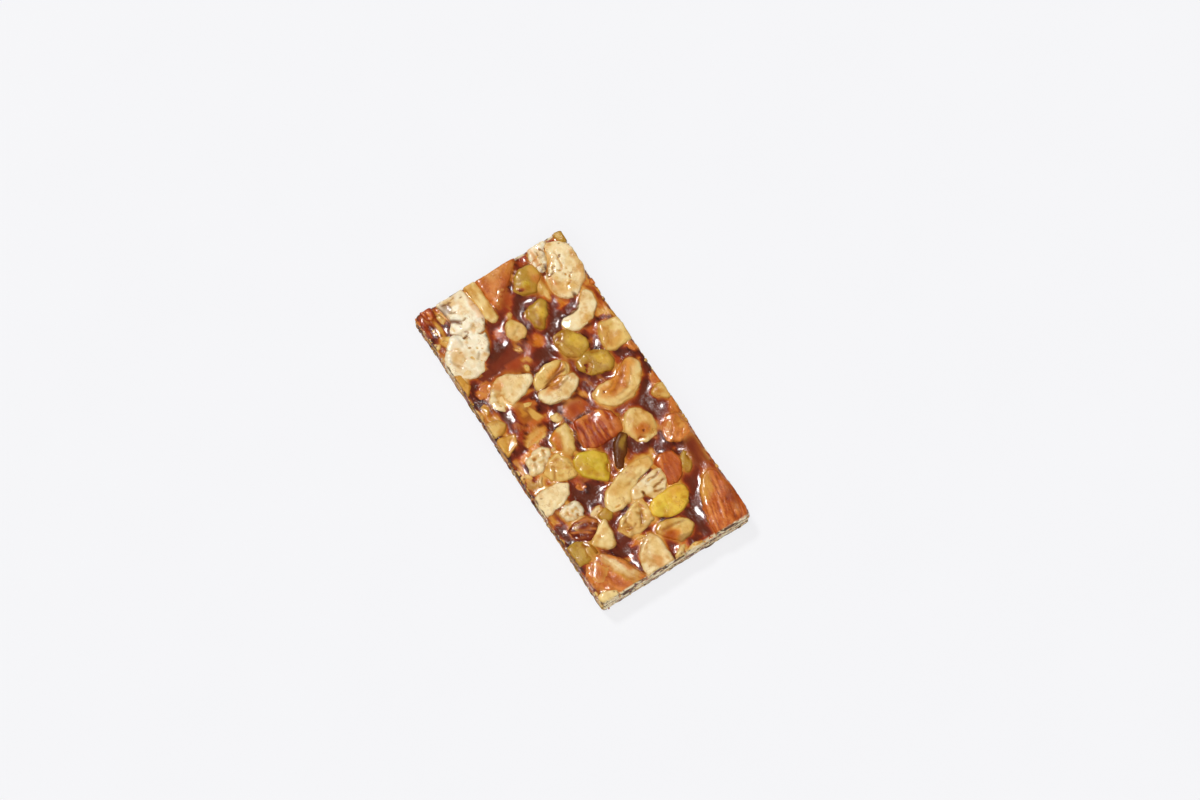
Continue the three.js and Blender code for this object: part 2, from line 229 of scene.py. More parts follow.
class CutEdge:
    """Where the knife went: how far each of the four sides lies from the middle, all along it."""

    SIDES = ((1, -1), (0, 1), (1, 1), (0, -1))  # axis and sign of each side's outward direction
    PITCH = 0.25
    LEVELS = (0.6, 2.1, 3.7, 5.2, 6.9)  # heights at which the nuts' cut faces are looked for
    WINDOW = 7  # steps that the outline is evened over
    OUTSIDE = 90.0
    CHAMFER = 0.8

    def __init__(self, tree):
        self.tables = []
        for axis, sign in self.SIDES:
            half = BAR_HIGH[1 - axis] - 0.1
            along = np.arange(-half, half, self.PITCH)
            reach = np.array([self.outermost(tree, axis, sign, step) for step in along])
            padded = np.pad(reach, self.WINDOW // 2, mode="edge")
            windows = np.lib.stride_tricks.sliding_window_view(padded, self.WINDOW)
            self.tables.append((along, np.median(windows, axis=1)))

    def outermost(self, tree, axis, sign, along):
        best = 0.0
        for level in self.LEVELS:
            start, aim = np.zeros(3), np.zeros(3)
            start[axis], start[1 - axis], start[2] = sign * self.OUTSIDE, along, level
            aim[axis] = -sign
            spot = tree.ray_cast(Vector(start), Vector(aim))[0]
            if spot is not None:
                best = max(best, sign * spot[axis])
        return best

    def reach(self, side, along):
        """How far one side lies from the middle at places along it."""
        return np.interp(along, *self.tables[side])

    def inset(self, points, side):
        """How far inside one side each point is."""
        axis, sign = self.SIDES[side]
        return self.reach(side, points[:, 1 - axis]) - sign * points[:, axis]

    def insets(self, points):
        return np.stack([self.inset(points, side) for side in range(4)], axis=1)

    def corner_inset(self, points):
        total = BAR_HIGH[0] + BAR_HIGH[1] - self.CHAMFER - np.abs(points[:, 0]) - np.abs(points[:, 1])
        return total / math.sqrt(2)

    def depth(self, points):
        """How far inside the whole outline each point is."""
        return np.minimum(self.insets(points).min(1), self.corner_inset(points))

    def keep_inside(self, points, margin=0.0):
        """Points outside the bar, or nearer its edge than margin, pressed back onto it."""
        points = points.copy()
        for side, (axis, sign) in enumerate(self.SIDES):
            over = np.maximum(margin - self.inset(points, side), 0)
            points[:, axis] -= sign * over
        over = np.maximum(margin - self.corner_inset(points), 0) / math.sqrt(2)
        points[:, :2] -= np.sign(points[:, :2]) * over[:, None]
        points[:, 2] = np.clip(points[:, 2], 0, BAR_TOP)
        return points


def cad_tree():
    points, faces, start = [], [], 0
    for node in frame["nodes"].values():
        points.append(points_of(node.data))
        faces += (faces_of(node.data) + start).tolist()
        start += len(points[-1])
    return BVHTree.FromPolygons(np.concatenate(points).tolist(), faces)


CUT_EDGE = CutEdge(cad_tree())


def sawn_dry(points):
    """1 at the two short ends, which were sawn dry, and 0 at the long sides, cut while warm."""
    insets = CUT_EDGE.insets(points)
    return np.where(insets.argmin(1) % 2 == 1, 1.0, 0.0)


def chatter_and_shade(points):
    """How far into a furrow or into the foot band each point of a cut side is: 1 in one and 0 on the
    ridges between. The dark that is painted from it is partly caramel and partly painted shade.
    """
    insets = CUT_EDGE.insets(points)
    side = insets.argmin(1)
    run = np.where(side % 2 == 0, points[:, 0], points[:, 1])
    height = with_lumps(points[:, 2], points, (0.8, 57, 3.2), (0.3, 54, 1.1))
    spot = np.column_stack([run * 0.16 + 0.3 * Lumps(53, 1.3)(points), side * 5.5, height * 0.5])
    wave = Lumps(55, 1.0)(spot) + 0.55 * Lumps(56, 1.0)(spot * (2.8, 1, 2.4))
    lines = 1 - ease(np.abs(wave), 0.05, 0.2)
    # The band at the foot, painted dark towards the floor: a painted contact shadow, with caramel pooled
    # at the tray.
    foot = 0.8 * (1 - ease(points[:, 2] + 0.9 * Lumps(58, 2.4)(points), 0.5, 1.5))
    furrows = np.maximum(lines, ease(wave, 0.3, 0.6))
    return np.maximum(furrows, foot) * (1 - ease(insets.min(1), 0.7, 1.2))


# ------------------------------------------------------------------ sizes and colours to change


def colour_prop(name, description, shade):
    return bpy.props.FloatVectorProperty(
        name=name, description=description, subtype="COLOR", size=3, min=0, max=1,
        default=tuple(float(c) for c in linear(shade)))


def length_prop(name, description, mm, low=0.0, high=20.0):
    return bpy.props.FloatProperty(
        name=name, description=description, subtype="DISTANCE", unit="LENGTH",
        default=mm * MM, min=low * MM, max=high * MM, precision=5)


class BRITTLE_PG_nuts(bpy.types.PropertyGroup):
    """Sizes and shades of the nuts."""

    grain: length_prop("Mesh Grain", "Size of the faces that a nut is made of", 0.4, 0.2, 2)
    ivory: colour_prop("Ivory", "Palest broken cashew", (248, 229, 183))
    cream: colour_prop("Cream", "Pale cashew", (242, 215, 150))
    straw: colour_prop("Straw", "Toasted cashew", (231, 196, 116))
    honey: colour_prop("Honey", "Cashew soaked with caramel", (220, 168, 74))
    russet: colour_prop("Russet", "Almond skin", (196, 98, 38))
    brick: colour_prop("Brick", "Redder almond skin", (176, 72, 28))
    tan: colour_prop("Tan", "Rubbed almond skin", (218, 138, 66))
    maroon: colour_prop("Maroon", "Almond skin under caramel", (124, 44, 18))
    flesh: colour_prop("Flesh", "Inside of an almond", (230, 176, 98))
    olive: colour_prop("Olive", "Pistachio", (192, 152, 58))
    gold: colour_prop("Gold", "Yellow pistachio", (242, 206, 78))
    leaf: colour_prop("Leaf", "Green pistachio", (216, 186, 56))
    bark: colour_prop("Bark", "Dark pistachio skin", (106, 58, 14))
    biscuit: colour_prop("Biscuit", "Walnut", (245, 212, 144))
    amber: colour_prop("Amber", "Nut stained right through by caramel", (226, 148, 40))
    umber: colour_prop("Umber", "Dark stain in a crack", (122, 62, 28))
    snow: colour_prop("Snow", "Whitest broken cashew", (255, 246, 220))
    chalk: colour_prop("Chalk", "Dry crumbled cut face", (233, 221, 182))


class BRITTLE_PG_caramel(bpy.types.PropertyGroup):
    """How the caramel lies and how deep its colour is."""

    level: length_prop("Level", "Height of the caramel between the nuts", 9.65, 5, 11)
    film: length_prop("Nut Stand", "How far a nut's top stands out of the caramel", 0.34, 0, 1)
    deep: colour_prop("Deep", "Colour where the caramel is thick", (118, 50, 20))
    black: colour_prop("Black", "Colour in the deepest gaps", (92, 37, 15))
    soak: bpy.props.FloatVectorProperty(
        name="Soak", description="How fast each colour is lost through a millimetre of caramel",
        size=3, default=(0.74, 1.72, 3.60), min=0, max=20)


class BRITTLE_PG_stage(bpy.types.PropertyGroup):
    """Floor, light and camera."""

    floor: colour_prop("Floor", "Colour of the floor", (103, 103, 104))
    azimuth: bpy.props.FloatProperty(
        name="Azimuth", description="Where the camera stands round the bar, in degrees", default=57.6)
    elevation: bpy.props.FloatProperty(
        name="Elevation", description="How high the camera stands, in degrees", default=72.0)
    key: bpy.props.FloatProperty(
        name="Key Light", description="Strength of the light from the left that the glints show",
        default=1.6, min=0)
    front: bpy.props.FloatProperty(
        name="Front Light", description="Strength of the broad light from the camera's side",
        default=1.62, min=0)
    fill: bpy.props.FloatProperty(
        name="Fill", description="Strength of the pale light from all round", default=0.13, min=0)


# ------------------------------------------------------------------ materials


class Flow:
    """A socket that carries a number or a colour, so that node maths reads as plain sums."""

    def __init__(self, recipe, socket):
        self.recipe = recipe
        self.socket = socket

    def sum(self, operation, first, second=0.0):
        return self.recipe.add("ShaderNodeMath", {"operation": operation}, {0: first, 1: second})

    def __add__(self, other):
        return self.sum("ADD", self, other)

    def __sub__(self, other):
        return self.sum("SUBTRACT", self, other)

    def __rsub__(self, other):
        return self.sum("SUBTRACT", other, self)

    def __mul__(self, other):
        return self.sum("MULTIPLY", self, other)

    __radd__ = __add__
    __rmul__ = __mul__

    def exp(self):
        return self.sum("EXPONENT", self)

    def clamped(self):
        return self.recipe.add("ShaderNodeClamp", {}, {0: self})


class Recipe:
    """One material and its nodes."""

    def __init__(self, name):
        self.material = bpy.data.materials.new(name)
        self.material.use_nodes = True
        self.tree = self.material.node_tree
        self.tree.nodes.clear()

    def add(self, kind, settings, values, output=0):
        """A node of any kind: its settings first, then the values or links of its sockets."""
        node = self.tree.nodes.new(kind)
        for name, setting in settings.items():
            setattr(node, name, setting)
        for name, value in values.items():
            if isinstance(value, Flow):
                self.tree.links.new(value.socket, node.inputs[name])
            else:
                node.inputs[name].default_value = value
        return Flow(self, node.outputs[output]) if node.outputs else None

    def attribute(self, name, output):
        return self.add("ShaderNodeAttribute", {"attribute_name": name}, {}, output)

    def place(self):
        return self.add("ShaderNodeTexCoord", {}, {}, "Object")

    def noise(self, size_mm, detail=2.0, roughness=0.5, stretch=(1, 1, 1), turn=0.0):
        """Cloudy noise with a spot about every size_mm."""
        where = self.add("ShaderNodeMapping", {}, {
            "Vector": self.place(),
            "Rotation": (0, 0, math.radians(turn)),
            "Scale": tuple(s / (size_mm * MM) for s in stretch),
        })
        return self.add("ShaderNodeTexNoise", {"noise_dimensions": "3D"}, {
            "Vector": where, "Scale": 1.0, "Detail": detail, "Roughness": roughness,
        }, "Fac")

    def ramp(self, value, low, high):
        """0 below low and 1 above high."""
        return self.add("ShaderNodeMapRange", {"interpolation_type": "SMOOTHSTEP"}, {
            "Value": value, "From Min": low, "From Max": high,
        })

    def mix(self, factor, first, second, way="MIX"):
        return self.add("ShaderNodeMix", {"data_type": "RGBA", "blend_type": way}, {
            0: factor, 6: first, 7: second,
        }, 2)

    def stained(self, colour, share, stain):
        """The colour multiplied by a darker colour, as far as the share says: it paints stains, and
        painted shade too.
        """
        return self.mix(share, colour, (*stain, 1), "MULTIPLY")

    def absorbed(self, depth_mm):
        """The share of each colour left after a depth of caramel."""
        parts = [(depth_mm * -k).exp() for k in bpy.context.scene.brittle_caramel.soak]
        return self.add("ShaderNodeCombineColor", {}, dict(enumerate(parts)))

    def bump(self, height, distance_mm, strength=1.0, normal=None):
        values = {"Strength": strength, "Distance": distance_mm * MM, "Height": height}
        if normal is not None:
            values["Normal"] = normal
        return self.add("ShaderNodeBump", {}, values)

    def finish(self, values):
        shader = self.add("ShaderNodeBsdfPrincipled", {"subsurface_method": "RANDOM_WALK"}, values)
        self.add("ShaderNodeOutputMaterial", {}, {"Surface": shader})
        return self.material


def nut_material(kind):
    """A nut: its painted shade, mottled, with freckles, under whatever glaze lies on it."""
    honey, speckle, mottle, freckles, dullness = {
        "cashew": (0.7, 0.05, 5.6, 0.73, 0.44),
        "almond": (0.5, 0.30, 2.4, 0.72, 0.42),
        "pistachio": (0.5, 0.18, 4.0, 0.74, 0.40),
        "walnut": (0.75, 0.2, 2.8, 0.70, 0.48),
    }[kind]
    r = Recipe(kind + " finish")
    shade = r.attribute("shade", "Color")
    glaze = r.attribute("glaze", "Fac")
    cut = r.attribute("cut", "Fac")
    fine = r.noise(0.55, 3.0, 0.65)
    shade = r.stained(shade, r.ramp(r.noise(mottle, 3.0, 0.6), 0.53, 0.68) * honey, (0.80, 0.54, 0.24))
    speckles = r.ramp(r.noise(0.9, 3.0, 0.6), 0.45, 0.65) * speckle
    shade = r.stained(shade, speckles, (0.7, 0.42, 0.2))
    tone = r.ramp(r.noise(1.8, 4.0, 0.65), 0.36, 0.64)
    shade = r.mix(tone, r.stained(shade, 1.0, (0.92, 0.86, 0.77)), shade)
    vein = r.add("ShaderNodeMath", {"operation": "ABSOLUTE"}, {0: r.noise(3.4, 2.0, 0.6) - 0.5})
    vein = (1.0 - r.ramp(vein, 0.004, 0.016)) * r.ramp(r.noise(5.0, 1.0), 0.48, 0.6)
    shade = r.stained(shade, vein * 0.5, (0.55, 0.30, 0.12))
    freckle = r.ramp(fine, freckles, freckles + 0.06) * 0.55
    shade = r.stained(shade, freckle, (0.32, 0.13, 0.04))
    dry = cut * r.attribute("ridge", "Fac")
    pale = r.mix(r.ramp(r.noise(0.9, 4.0, 0.7), 0.36, 0.6) * dry * 0.85, shade,
                 (*bpy.context.scene.brittle_nuts.snow, 1))
    colour = r.mix(1.0, pale, r.absorbed(glaze), "MULTIPLY")
    wet = r.ramp(r.noise(2.8, 2.0), 0.38, 0.6)
    rough = r.add("ShaderNodeMath", {"operation": "MAXIMUM"}, {
        0: dullness - wet * 0.22 + cut * 0.5 + (r.noise(1.2, 2.0) - 0.5) * 0.2, 1: 0.12})
    grain = r.bump(fine, 0.12, 0.7)
    grain = r.bump(r.noise(0.3, 2.0, 0.6), 0.09, 0.5, grain)
    grain = r.bump(r.noise(1.0, 3.0, 0.6, (0.3, 1, 1), 32.0), 0.14, 0.6, grain)
    return r.finish({
        "Base Color": colour,
        "Roughness": rough,
        "Normal": grain,
        "Coat Weight": (0.65 * wet * (1.0 - cut)).clamped(),
        "Coat Roughness": 0.14,
        "Subsurface Weight": 0.12,
        "Subsurface Radius": (1.0, 0.6, 0.35),
        "Subsurface Scale": 0.7 * MM,
        "IOR": 1.32,
    })


def caramel_material():
    """Boiled sugar: the nut below shows through a thin layer and is lost under a thick one."""
    r = Recipe("caramel finish")
    under = r.attribute("under", "Color")
    depth = r.attribute("depth", "Fac") * (0.7 + 0.6 * r.noise(1.5, 3.0, 0.6))
    left = r.absorbed(depth)
    settings = bpy.context.scene.brittle_caramel
    black = (*settings.black, 1)
    deep = r.mix(r.ramp(r.noise(4.0, 2.0), 0.35, 0.65), (*settings.deep, 1), black)
    deep = r.mix(r.ramp(depth, 1.2, 2.4), deep, black)
    gone = r.add("ShaderNodeInvert", {}, {"Fac": 1.0, "Color": left})
    thin = r.mix(1.0, under, left, "MULTIPLY")
    colour = r.mix(1.0, thin, r.mix(1.0, deep, gone, "MULTIPLY"), "ADD")
    # A thin dark line in the caramel beside crisp nut edges: a painted contact shadow.
    colour = r.stained(colour, r.attribute("painted_contact_shade", "Fac") * 0.9, (0.12, 0.08, 0.06))
    frost = r.attribute("frost", "Fac") * r.ramp(r.noise(2.6, 4.0, 0.65, (1, 1, 2.4)), 0.36, 0.52)
    colour = r.mix(frost * 0.9, colour, (*bpy.context.scene.brittle_nuts.chalk, 1))
    wrinkles = r.attribute("wrinkles", "Fac")
    haze = (r.ramp(r.noise(4.2, 3.0, 0.6), 0.5, 0.66) * wrinkles + frost).clamped()
    ripple = r.bump(r.noise(1.1, 3.0, 0.6) * (0.3 + 0.7 * wrinkles), 0.25, 0.7)
    ripple = r.bump(r.noise(0.4, 2.0, 0.6) * wrinkles, 0.10, 0.6, ripple)
    ripple = r.bump(r.noise(0.8, 3.0, 0.6, (0.3, 1, 1), 32.0) * wrinkles, 0.36, 0.6, ripple)
    return r.finish({
        "Base Color": colour,
        "Roughness": 0.15 + 0.08 * wrinkles + 0.14 * haze + 0.6 * r.attribute("sawn", "Fac"),
        "Normal": ripple,
        "Coat Weight": 0.48 * (1.0 - haze),
        "Coat Roughness": 0.09,
        "IOR": 1.43,
    })


def crumb_material():
    """Dry nut crumbs, with darker toasted spots."""
    r = Recipe("crumb finish")
    shade = r.attribute("shade", "Color")
    fine = r.noise(0.4, 3.0, 0.6)
    colour = r.stained(shade, r.ramp(fine, 0.4, 0.7) * 0.5, (0.5, 0.26, 0.1))
    return r.finish({
        "Base Color": colour,
        "Roughness": 0.75 + 0.2 * fine,
        "Normal": r.bump(fine, 0.08, 0.6),
        "IOR": 1.32,
    })


FINISHES = {}


def material(name):
    """The finish of that name, made when it is first asked for."""
    makers = {"caramel": caramel_material, "crumb": crumb_material}
    if name not in FINISHES:
        FINISHES[name] = makers[name]() if name in makers else nut_material(name)
    return FINISHES[name]


# ------------------------------------------------------------------ nuts

# Each nut's shade, and the heading of its grain in degrees. Its place in this list seeds its lumps.
NUTS = {
    "cashew_crescent": ("ivory", 31), "cashew_large": ("cream", 16), "cashew_ring_left": ("straw", 10),
    "cashew_ring_right": ("ivory", 7), "cashew_corner_half": ("ivory", -10),
    "cashew_corner_end": ("snow", 0), "cashew_far_edge": ("straw", 60),
    "cashew_glazed_edge": ("honey", 60), "cashew_far_amber": ("amber", 0),
    "cashew_far_nib": ("straw", 80), "cashew_round": ("cream", 20), "cashew_long_half": ("cream", -63),
    "cashew_cleft": ("ivory", 60), "cashew_amber": ("straw", 60), "cashew_end_face": ("ivory", -5),
    "cashew_end_strip": ("cream", 90), "cashew_point": ("cream", -30),
    "cashew_near_corner": ("cream", 45), "cashew_near_slab": ("ivory", 80),
    "cashew_dipped": ("straw", -20), "cashew_wedge": ("ivory", -75), "cashew_glazed_nib": ("tan", 70),
    "cashew_gold_nib": ("straw", 80), "cashew_glint_nib": ("honey", 60), "cashew_striped": ("straw", -80),
    "cashew_clouded": ("tan", 0), "cashew_near_edge": ("honey", 0), "cashew_glazed_bit": ("straw", 80),
    "cashew_pale_bit": ("cream", 15), "cashew_sliver": ("cream", 0), "cashew_broad_left": ("snow", 0),
    "cashew_broad_right": ("snow", -35), "almond_ridged": ("russet", -12),
    "almond_under_glaze": ("brick", -88), "almond_glossy": ("tan", -40), "almond_end_third": ("tan", -52),
    "almond_cut": ("brick", -5), "almond_smooth": ("brick", 5), "almond_red": ("russet", -15),
    "almond_edge_glazed": ("maroon", 0), "almond_slice": ("tan", 30), "almond_dark": ("maroon", 60),
    "almond_corner_bit": ("brick", 0), "pistachio_sliver": ("olive", -25),
    "pistachio_left": ("olive", 50), "pistachio_clear": ("olive", -35), "pistachio_large": ("olive", 35),
    "pistachio_pair": ("olive", 60), "pistachio_green": ("leaf", 30), "pistachio_dark": ("bark", -38),
    "pistachio_gold": ("gold", -70), "pistachio_near_edge": ("olive", 80),
    "pistachio_corner": ("olive", 0), "pistachio_nib": ("olive", 60), "walnut_knob": ("cream", 0),
    "walnut_crumbly": ("straw", 0), "walnut_flake": ("ivory", 0), "walnut_knot": ("snow", 0),
}
# How the surface of each kind is broken, and the nuts that crumbled instead.
LOOKS = {"cashew": "smooth", "almond": "wrinkled", "pistachio": "smooth", "walnut": "crinkled"}
CRUMBLY = (
    "cashew_corner_half", "cashew_corner_end", "cashew_near_corner", "cashew_near_slab",
    "cashew_near_edge", "cashew_broad_left", "cashew_broad_right",
)

# Each nut's touches of another shade: middle x and y, half length, half width, heading, shade and
# strength.
# A few touches are painted highlights, and are marked where they stand.
TOUCHES_AND_HIGHLIGHTS = {
    "cashew_crescent": [
        # The snow touch on the crescent's lower end is partly paler nut and partly a painted highlight.
        (-34, 20.4, 1.6, 3.4, 20, "honey", 0.7), (-29.5, 12.5, 2.2, 1.8, 0, "snow", 0.8),
        (-27, 20, 1, 4.6, 12, "straw", 0.7),
    ],
    "cashew_large": [
        (-4, 18, 8.6, 3.6, -60, "amber", 0.95), (-1.6, 11.6, 3.6, 2.6, 70, "amber", 0.7),
        (2.2, 18, 6.5, 1.3, -75, "cream", 0.9), (-4.5, 8.6, 3.2, 1.5, 0, "cream", 0.8),
    ],
    "cashew_ring_left": [(-16, 0, 5.5, 1.6, -75, "amber", 0.8), (-19.4, -2.2, 4, 1.2, 85, "cream", 0.6)],
    "cashew_ring_right": [
        (-12.6, -3, 4.4, 1.5, -75, "amber", 0.85), (-9, 0.6, 3.6, 1.4, 85, "ivory", 0.8),
    ],
    "cashew_corner_half": [
        (-39.5, 20, 2.8, 5, -15, "honey", 0.75), (-46, 27.2, 6, 1.3, 0, "honey", 0.6),
        (-45, 16.8, 5, 1.2, 0, "amber", 0.5), (-49, 22, 3.2, 2.2, 0, "snow", 0.7),
    ],
    "cashew_corner_end": [(-54, 15.4, 4, 1, 0, "amber", 0.7)],
    "cashew_far_edge": [(-15.2, 22, 1.6, 4, 0, "honey", 0.8), (-19, 26.5, 3, 2, 0, "cream", 0.9)],
    "cashew_round": [(15.4, 13.4, 2.4, 3.4, 10, "amber", 0.9), (10.4, 14.6, 2.4, 1.6, 0, "cream", 0.7)],
    "cashew_long_half": [(25, 6, 1.3, 5, 12, "cream", 0.8), (28, -2, 2.2, 4, 25, "straw", 0.8)],
    "cashew_cleft": [(30.4, 7, 1.6, 4, 10, "snow", 0.7), (35.4, 4.4, 1.6, 4, 0, "honey", 0.7)],
    "cashew_amber": [
        (50.4, 3, 3.2, 3.2, 0, "amber", 1), (53.6, 6, 1.4, 4, 0, "umber", 0.5),
        (50, 2, 2.4, 2.6, 0, "russet", 0.6),
    ],
    "cashew_end_face": [(55, -5.6, 3, 1.6, -10, "amber", 0.6), (50, -3.4, 4, 1.4, 10, "cream", 0.8)],
    "cashew_point": [(38.6, -19.5, 2.4, 1.4, 0, "honey", 0.6)],
    "cashew_dipped": [(4, -11.6, 5.2, 1.7, -14, "amber", 1), (4, -8, 3, 1.2, -20, "cream", 0.7)],
    "cashew_wedge": [(-23, -18.6, 1.8, 3.4, 0, "amber", 0.8), (-18, -19, 3, 2.4, 0, "ivory", 0.8)],
    "cashew_striped": [(-1, -15.6, 1.2, 5, 12, "amber", 0.9)],
    "cashew_clouded": [(-7.6, -14, 2.6, 4, 0, "amber", 0.9), (-9.4, -13.8, 4.6, 4.4, 0, "bark", 0.6)],
    "cashew_pale_bit": [(-38.6, -3.4, 1.6, 1.6, 0, "leaf", 0.4)],
    "cashew_sliver": [(-54, -7.6, 4, 0.9, -5, "honey", 0.8)],
    "cashew_broad_left": [
        (-47, -13, 5, 3, 0, "snow", 0.9), (-50, -9.6, 6, 1.2, 0, "amber", 0.5),
        (-55.5, -16, 2, 3, 0, "honey", 0.7), (-54.5, -18.6, 3, 1, 20, "umber", 0.6),
    ],
    "cashew_broad_right": [(-36, -16, 4, 3, -35, "snow", 0.7), (-38, -24, 6, 2, -25, "honey", 0.6)],
    "almond_ridged": [(42, 20.5, 6.2, 2.6, -32, "honey", 0.8), (50, 26.5, 8, 1.5, -6, "umber", 0.4)],
    "almond_glossy": [(20, 25, 3, 1.6, 20, "honey", 0.5)],
    "almond_end_third": [
        (-56, 3, 2.4, 6, 0, "flesh", 0.5), (-48.5, 1, 1.4, 5, 35, "umber", 0.5),
        (-50, 1.6, 6.4, 1.3, -52, "brick", 0.6),
    ],
    "almond_cut": [(9.5, 7.5, 3.4, 1.8, 0, "tan", 0.7)],
    "almond_slice": [
        (52.4, -16.6, 8.5, 2, 27, "honey", 1), (47, -19.6, 3, 1.4, 30, "flesh", 0.9),
        (49.4, -17.4, 7.6, 1.6, 28, "ivory", 0.9), (52, -21.6, 6, 1.6, 32, "brick", 0.6),
    ],
    "almond_dark": [(33, -19, 3, 4.4, 0, "bark", 0.4)],
    "pistachio_left": [
        (-49.6, 12.8, 3.6, 1.8, 0, "honey", 0.8), (-46.5, 7.4, 2, 2.6, 0, "leaf", 0.8),
        (-47, 12.6, 1.8, 2.2, 0, "tan", 0.7),
    ],
    "pistachio_clear": [(-37, 7.4, 2.4, 1.8, 0, "gold", 0.7)],
    "pistachio_large": [(-22, 12, 3.4, 2, 30, "gold", 0.5)],
    "pistachio_pair": [(-12.6, 15.6, 3, 2, 20, "gold", 0.5)],
    "pistachio_green": [(13.4, -3.6, 2.4, 2.4, 30, "gold", 0.7)],
    "pistachio_dark": [(15.4, 6.2, 3, 0.9, -40, "olive", 0.6)],
    "pistachio_gold": [(42, 4.5, 3, 3, 0, "leaf", 0.7), (38, 12, 1.8, 2.6, 0, "amber", 0.4)],
    # The pistachio's cream touch is a painted highlight.
    "pistachio_corner": [(-56, 27, 1.6, 1, 0, "cream", 0.6)],
}

# Folds and cracks in the nuts, seen from above: both ends, bow to the left, width, depth and stain.
# The stain is partly caramel in the cracks and partly painted shade in the folds and in the gaps between
# nuts.
CREASES = [
    (-8, 21, -0.8, 12, 1.8, 1.3, 0.1, 0.25), (-5.5, 22.8, 1.2, 13, 2, 0.7, 0.06, 0.2),
    (-3.8, 15.2, -2, 9.4, 0.4, 0.6, 0.08, 0.25), (1.8, 21, 3.2, 12, 0.5, 0.6, 0.06, 0.2),
    (-2.6, 10.6, -1.8, 10.4, 0, 0.5, 0.25, 0.8), (-18.6, 4.4, -15.2, -4.8, 0.8, 0.9, 0.25, 0.5),
    (-17.8, 4.8, -14.2, 3.4, 0.6, 0.7, 0.2, 0.4), (-13.2, 3.8, -12.6, -4.4, 1, 1, 0.12, 0.35),
    (30.2, 11.2, 31.2, 5.4, 0, 0.7, 0.28, 0.55), (33, 11.2, 33.6, 6.2, 0, 0.7, 0.28, 0.55),
    (35.8, 9.6, 34.8, 5.4, 0, 0.7, 0.25, 0.5), (26.4, 7, 28.4, -1, 0.5, 0.8, 0.1, 0.15),
    (-49.8, 17.6, -45.8, 16, 0.3, 0.7, 0.35, 0.9), (-48, 14.6, -49.8, 17.8, 0.2, 0.6, 0.3, 0.8),
    (-46.8, 19.4, -46, 16.2, 0.2, 0.6, 0.3, 0.7), (-53.6, 20.8, -52.6, 17, 0.2, 0.6, 0.25, 0.4),
    (-50.4, 23.4, -49.6, 22.8, 0, 0.5, 0.45, 1), (-44.2, 21.8, -43.3, 21.4, 0, 0.45, 0.35, 0.8),
    (-48, 19.9, -47.5, 18.9, 0, 0.5, 0.35, 0.8), (-50, -19.6, -47.2, -16.4, 0.3, 1.1, 0.4, 0.9),
    (-55.8, -19.2, -52.8, -17, 1.2, 0.7, 0.3, 0.8), (-55.6, -15.4, -53.2, -17.8, -0.8, 0.7, 0.3, 0.8),
    (-52.2, -18, -51, -15.8, 0, 0.5, 0.25, 0.6), (-56.4, -21, -51.8, -19.6, 0.5, 0.8, 0.25, 0.7),
    (-42.7, -17, -42.4, -19, 0, 0.5, 0.6, 1), (-48, -14.4, -47.6, -16, 0, 0.45, 0.35, 0.8),
    (-35.8, -16.6, -33.8, -19, 0.3, 0.6, 0.2, 0.4), (-45.6, -11.4, -44.4, -20.6, 0.8, 1.2, 0.22, 0.2),
    (-42.4, -9.2, -39, -12.4, 0.4, 1, 0.25, 0.7), (-37.8, -11.2, -34.2, -14.2, 0.3, 0.9, 0.2, 0.6),
    (-46.4, -21.4, -40, -20.2, 0.6, 0.8, 0.12, 0.2), (-40.4, -26.6, -33, -24, -0.8, 0.9, 0.14, 0.25),
    (36.6, -1.2, 43.2, -4.6, 0.7, 0.7, 0.18, 0.35), (27.2, 10.6, 29.4, 3, 0.3, 0.7, 0.5, 1),
    (33, 2.5, 37.2, 2.3, 0.2, 0.6, 0.5, 1), (34, -3, 36, -7.2, 0.2, 0.9, 0.5, 1),
    (43, 0.4, 44.8, -6, 0.3, 0.7, 0.4, 0.9), (53.8, -0.4, 58.6, -1, 0.2, 0.6, 0.4, 0.9),
    (-15.6, 4.6, -13.8, -5.6, -0.8, 0.8, 0.3, 0.7), (36, -5.6, 39.6, -9, 0.4, 0.7, 0.18, 0.45),
    (40.6, -4.4, 43.4, -8, -0.4, 0.6, 0.14, 0.3), (46.6, -2.6, 49.4, -9, -0.6, 0.8, 0.16, 0.25),
    (48.8, 9.6, 47.6, 0.8, -0.7, 0.8, 0.16, 0.35), (3.2, -17, 9.4, -19.8, 0.6, 0.8, 0.25, 0.25),
    (4.4, -21, 9.2, -22.6, 0.4, 0.8, 0.25, 0.3), (10.6, -17, 14.6, -19.6, 0.3, 0.8, 0.18, 0.3),
    (15.4, 14, 16.2, 13.6, 0, 0.5, 0.25, 0.9), (25, -18.6, 28.8, -19.4, 0.5, 0.7, 0.2, 0.25),
    (-36.6, -1, -34.6, -5, 0.3, 0.8, 0.12, 0.25), (-36.8, 20.4, -31.8, 19, 0.4, 0.9, 0.6, 0.9),
    (-31.8, 19.2, -31.5, 12.4, 0.6, 0.9, 0.6, 0.9),
]

